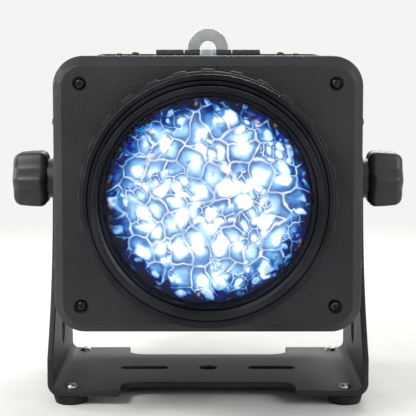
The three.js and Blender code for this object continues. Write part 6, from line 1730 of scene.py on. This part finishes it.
def inlet_body():
    """The moulded inlet: a flange with a plug mouth, a fuse slot and a switch opening, and its box behind."""
    flange = rounded_box(26.0, 15.0, 3.0, POWER_X, POWER_Z, 8)
    box = rounded_box(INLET_BOX_X, INLET_BOX_Z, 0.8, POWER_X, POWER_Z, 3)
    mouth = [(-11, -7.5), (11, -7.5), (11, 3.5), (7, 7.5), (-7, 7.5), (-11, 3.5)]
    mouth = eased([(INLET_X + u, POWER_Z + v) for u, v in mouth], 0.9, 4)
    lead_in = [(INLET_X + (u - INLET_X) * 1.05, POWER_Z + (v - POWER_Z) * 1.06) for u, v in mouth]
    fuse = rounded_box(2.8, 8.8, 0.4, FUSE_X, POWER_Z, 2)
    rocker = rounded_box(5.3, 10.5, 0.5, ROCKER_X, POWER_Z, 3)
    back, mouth_floor = SOCKET_FACE - 24.0, FLANGE_FACE - INLET_DEPTH
    parts = [flat(flange, [lead_in, fuse, rocker], FLANGE_FACE),
             wall(flange, FLANGE_FACE, SOCKET_FACE),
             flat(flange, [box], SOCKET_FACE), wall(box, SOCKET_FACE, back),
             flat(box, [], back),
             lofted([(lead_in, FLANGE_FACE), (mouth, FLANGE_FACE - 0.8), (mouth, mouth_floor)]),
             flat(mouth, [], mouth_floor)]
    for loop, deep in ((fuse, 20.3), (rocker, 9.0)):
        parts += [wall(loop, FLANGE_FACE, FLANGE_FACE - deep), flat(loop, [], FLANGE_FACE - deep)]
    return joined(*parts)


piece("inlet_moulding", [inlet_body()], PLASTIC, stands_for=["power_inlet"], edge=0.25)
inlet_pins = [block(INLET_X + u - 1, INLET_X + u + 1, FLANGE_FACE - INLET_DEPTH - 1, FLANGE_FACE - 4,
                    POWER_Z + v - 2, POWER_Z + v + 2) for u, v in ((-7, -2), (0, 2), (7, -2))]
piece("inlet_pins", inlet_pins, NICKEL, edge=0.5)


def drawer():
    """The fuse drawer's front, with a notch for a fingernail."""
    (x0, x1), (y0, y1), (z0, z1) = FUSE
    side = [(y0, z0 + 0.6), (y1 - 0.7, z0 + 0.2), (y1, z0 + 0.2), (y1, z1 - 4.2), (y1 - 0.9, z1 - 3.4),
            (y1 - 0.9, z1 - 1.8), (y1, z1 - 1.0), (y1, z1 - 0.2), (y0, z1 - 0.6)]
    return plate(side, [], x0 + 0.05, x1 - 0.05, along_x)


piece("drawer_front", [drawer()], PLASTIC, "fuse_drawer", ["fuse_drawer"], edge=0.25)


ROCKER_TIP = math.radians(8)
KEY_HALF, KEY_BODY, KEY_PEAK = 9.5, 2.5, 0.9


def tipped(out, up):
    """Where a point of the rocker lies, along Y and Z, once it is tipped about its pivot."""
    return (FLANGE_FACE - 2.5 + out * math.cos(ROCKER_TIP) - up * math.sin(ROCKER_TIP),
            POWER_Z + out * math.sin(ROCKER_TIP) + up * math.cos(ROCKER_TIP))


def rocker_key():
    """The rocker with two dished faces that meet in a ridge, tipped to one side."""
    dished = [(KEY_BODY + KEY_PEAK * math.cos(math.pi * t / KEY_HALF), t)
              for t in [KEY_HALF * (1 - k / 12) for k in range(25)]]
    profile = [(-KEY_BODY, KEY_HALF - 1.9), *dished, (-KEY_BODY, 1.9 - KEY_HALF)]
    outline = [tipped(out, up) for out, up in profile]
    return plate(outline, [], ROCKER_X - 4.95, ROCKER_X + 4.95, along_x)


piece("rocker_key", [rocker_key()], PLASTIC, "power_rocker", ["power_rocker"], edge=0.3, keen=50)


def rocker_marks():
    """The on line and the off ring, printed on the two faces."""
    def on_key(u, v, w):
        return (ROCKER_X + u, *tipped(KEY_BODY + 0.02 + KEY_PEAK * math.cos(math.pi * v / KEY_HALF) + w, v))

    line = [(-0.3, 3.6), (0.3, 3.6), (0.3, 4.4), (0.3, 5.2), (0.3, 6.4), (-0.3, 6.4), (-0.3, 5.2), (-0.3, 4.4)]
    ring = circle(1.5, 32, 0, -5.0)
    hollow = circle(1.0, 32, 0, -5.0)
    return [sheet(line, [], 0.08, on_key), sheet(ring, [hollow], 0.08, on_key)]


piece("rocker_marks", rocker_marks(), PRINT, "power_rocker")


# Effect module: two geared discs of rippled glass that turn against each other

TEETH = 41
WHEEL_X = 28.6
RIM_BORE, TOOTH_ROOT, TOOTH_TIP = 46.95, 48.25, 53.37
DISC_BORE, DISC_OUTER = 8.3, RIM_BORE - 0.35
DISC_HALF = 1.7


def gear_tooth(x, y0, y1, degrees):
    """One tooth with curved flanks, standing on the rim."""
    root, tip = TOOTH_ROOT, TOOTH_TIP
    half_root, half_tip = 0.28 * TURN / TEETH, 0.11 * TURN / TEETH
    flank = [(root - 0.4, half_root * 1.02)]
    for k in range(5):
        t = k / 4
        flank.append((root + (tip - 0.25 - root) * t, half_root + (half_tip - half_root) * t ** 0.8))
    flank.append((tip, half_tip * 0.8))
    points = [(r, -a) for r, a in flank] + [(r, a) for r, a in flank[::-1]]
    turn = math.radians(degrees)
    outline = [polar(r, turn + a, x) for r, a in points]
    return plate(outline, [], y0, y1)


def effect_wheel(label, side, toothed_at):
    """A disc of rippled glass in its toothed rim, with its hub, and the motor and pinion that drive it."""
    body = f"wheel_{label}"
    x = side * WHEEL_X
    y0, y1 = span(f"wheel_rim_{label}")[1]
    rim = rectangle(RIM_BORE, TOOTH_ROOT + 0.1, y0, y1)
    teeth = around([gear_tooth(x, y0, y1, toothed_at)], ACETAL, TEETH, centre=(x, 0, 0))
    piece(f"toothed_rim_{label}", [turned(eased(rim, 0.3, 2), 164, "Y", x), teeth], ACETAL, body,
          [f"wheel_rim_{label}"], keen=40)
    glass_y = middle((y0, y1))
    radii = [DISC_BORE + (DISC_OUTER - DISC_BORE) * k / 48 for k in range(49)]
    disc = [(r, glass_y - DISC_HALF) for r in radii] + [(r, glass_y + DISC_HALF) for r in radii[::-1]]
    watery = grown(WATERY, mesh_of([turned(disc, 180, "Y", x)]), RIPPLED, Centre=metres(x, glass_y, 0),
                   Ripple_Size=13 * MM, Ripple_Height=0.5 * MM, Seed=3.0 + side, Seat_Inner=DISC_BORE * MM,
                   Seat_Outer=DISC_OUTER * MM, Seat_Width=2.5 * MM)
    piece(f"rippled_disc_{label}", [watery], RIPPLED, body, [f"effect_glass_{label}"])
    dressed(f"wheel_hub_{label}", ALUMINIUM, 0.2, body=body)
    dressed(f"pinion_{label}", ACETAL, 0.15, body=f"pinion_{label}")
    dressed(f"wheel_motor_{label}", ZINC, 0.5, keen=40)


effect_wheel("rear", -1, -135)
effect_wheel("front", 1, -45)


# Light engine and electronics: finished copies of their solids

dressed("module_plate", ZINC, 0.25)
dressed("bulkhead_plate", ZINC, 0.25)
dressed("condenser_holder", ANODISED, 0.4)
for glass, end, way in (("condenser_lens_front", 0, 1), ("condenser_lens_rear", 1, -1)):
    condenser = dome(30.0, 2.5, 8.0, span(glass)[1][end], way, 12)
    piece(f"{glass}_polished", [condenser], GLASS, stands_for=[glass], keen=30)
dressed("led_board", BOARD, 0.15)
dressed("control_board", BOARD, 0.15)
dressed("driver_board", BOARD, 0.2)
dressed("power_supply", ALUMINIUM, 0.5, keen=40)

SINK_HALF = 50.0
SINK_BASE = 6.0
FIN_COUNT, FIN = 15, 1.8
fin_levels = [(rectangle(x0 - SINK_HALF, x1 - SINK_HALF, -SINK_HALF, SINK_HALF), y)
              for x0, x1, y in ((0, FIN, SINK[0] + SINK_BASE - 0.2), (0.1, FIN - 0.1, SINK[1] - 0.4),
                                (0.4, FIN - 0.4, SINK[1]))]
first_fin = skin([ring_at(outline, y) for outline, y in fin_levels], caps=True)
fins = in_row([first_fin], EXTRUDED, FIN_COUNT, ((2 * SINK_HALF - FIN) / (FIN_COUNT - 1), 0, 0))
base = block(-SINK_HALF, SINK_HALF, SINK[0], SINK[0] + SINK_BASE, -SINK_HALF, SINK_HALF)
piece("heatsink_extrusion", [base, fins], EXTRUDED, stands_for=["heatsink"], edge=0.2, keen=40)

bpy.data.objects.remove(SCREW)


# Stage: a pale floor that runs off into a white studio, and soft lamps


def seen_directly(add):
    """1 for what the camera sees, straight, in a reflection or through glass, and 0 for diffuse light."""
    path = add("ShaderNodeLightPath")
    seen = add(MATH, {"operation": "MAXIMUM"}, {0: path.outputs["Is Camera Ray"], 1: path.outputs["Is Glossy Ray"]})
    return add(MATH, {"operation": "MAXIMUM"}, {0: seen, 1: path.outputs["Is Transmission Ray"]})


def emptied(holder):
    """The way to add nodes to a material or a world, once its own are gone."""
    holder.use_nodes = True
    holder.node_tree.nodes.clear()
    return partial(node, holder.node_tree)


def studio_floor():
    """Matt pale floor whose colour goes over to the white of the studio further off."""
    made = bpy.data.materials.new("matt_studio_floor")
    add = emptied(made)
    place = add("ShaderNodeTexCoord").outputs["Object"]
    scatter = add(NOISE, {"Scale": 40.0, "Detail": 4.0}, {"Vector": place})
    shade = add(RAMP, {"stops": [(0.3, "#D9D9D6"), (0.7, "#E0E0DD")]}, {"Fac": scatter})
    lit = add("ShaderNodeBsdfPrincipled", {"Roughness": 0.85, "Specular IOR Level": 0.2}, {"Base Color": shade})
    white = add("ShaderNodeEmission", {"Color": "#F4F4F2"})
    distance = add(VECTOR_MATH, {"operation": "LENGTH"}, {0: place}).outputs["Value"]
    away = add(RANGE, {"interpolation_type": "SMOOTHSTEP", "From Min": 0.35, "From Max": 1.1}, {"Value": distance})
    both = add(MATH, {"operation": "MULTIPLY"}, {0: away, 1: seen_directly(add)})
    mixed = add("ShaderNodeMixShader", {}, {0: both, 1: lit, 2: white})
    add("ShaderNodeOutputMaterial", {}, {"Surface": mixed})
    return made


def add_floor():
    mesh = bpy.data.meshes.new("studio_floor")
    mesh.from_pydata(ring_at(rectangle(-6, 6, -6, 6), 0, along_z), [], [(0, 1, 2, 3)])
    mesh.materials.append(studio_floor())
    placed("studio_floor", mesh)


def add_world():
    """White studio for the camera and for reflections, and a plain grey light for everything else."""
    scene.world = bpy.data.worlds.new("studio")
    add = emptied(scene.world)
    seen = seen_directly(add)
    fill = add("ShaderNodeBackground", {"Color": "#FFFFFF", "Strength": 0.55})
    white = add("ShaderNodeBackground", {"Color": "#F4F4F2", "Strength": 1.0})
    mixed = add("ShaderNodeMixShader", {}, {0: seen, 1: fill, 2: white})
    add("ShaderNodeOutputWorld", {}, {"Surface": mixed})


def add_lamp(name, place, size, power):
    """A square soft lamp aimed at the head."""
    data = bpy.data.lights.new(name, "AREA")
    data.shape = "RECTANGLE"
    data.size, data.size_y = (side * MM for side in size)
    data.energy = power
    lamp = placed(name, data)
    lamp.location = Vector(place) * MM
    lamp.rotation_euler = (ABOUT_PIVOT * MM - lamp.location).to_track_quat("-Z", "Y").to_euler()


add_floor()
add_world()
add_lamp("key", (-900, -1100, 1250), (700, 700), 26)
add_lamp("fill", (1200, -700, 700), (800, 800), 10)
add_lamp("back_strip", (300, 1200, 1100), (1000, 300), 18)
add_lamp("side_strip", (-1300, 500, 600), (300, 900), 9)
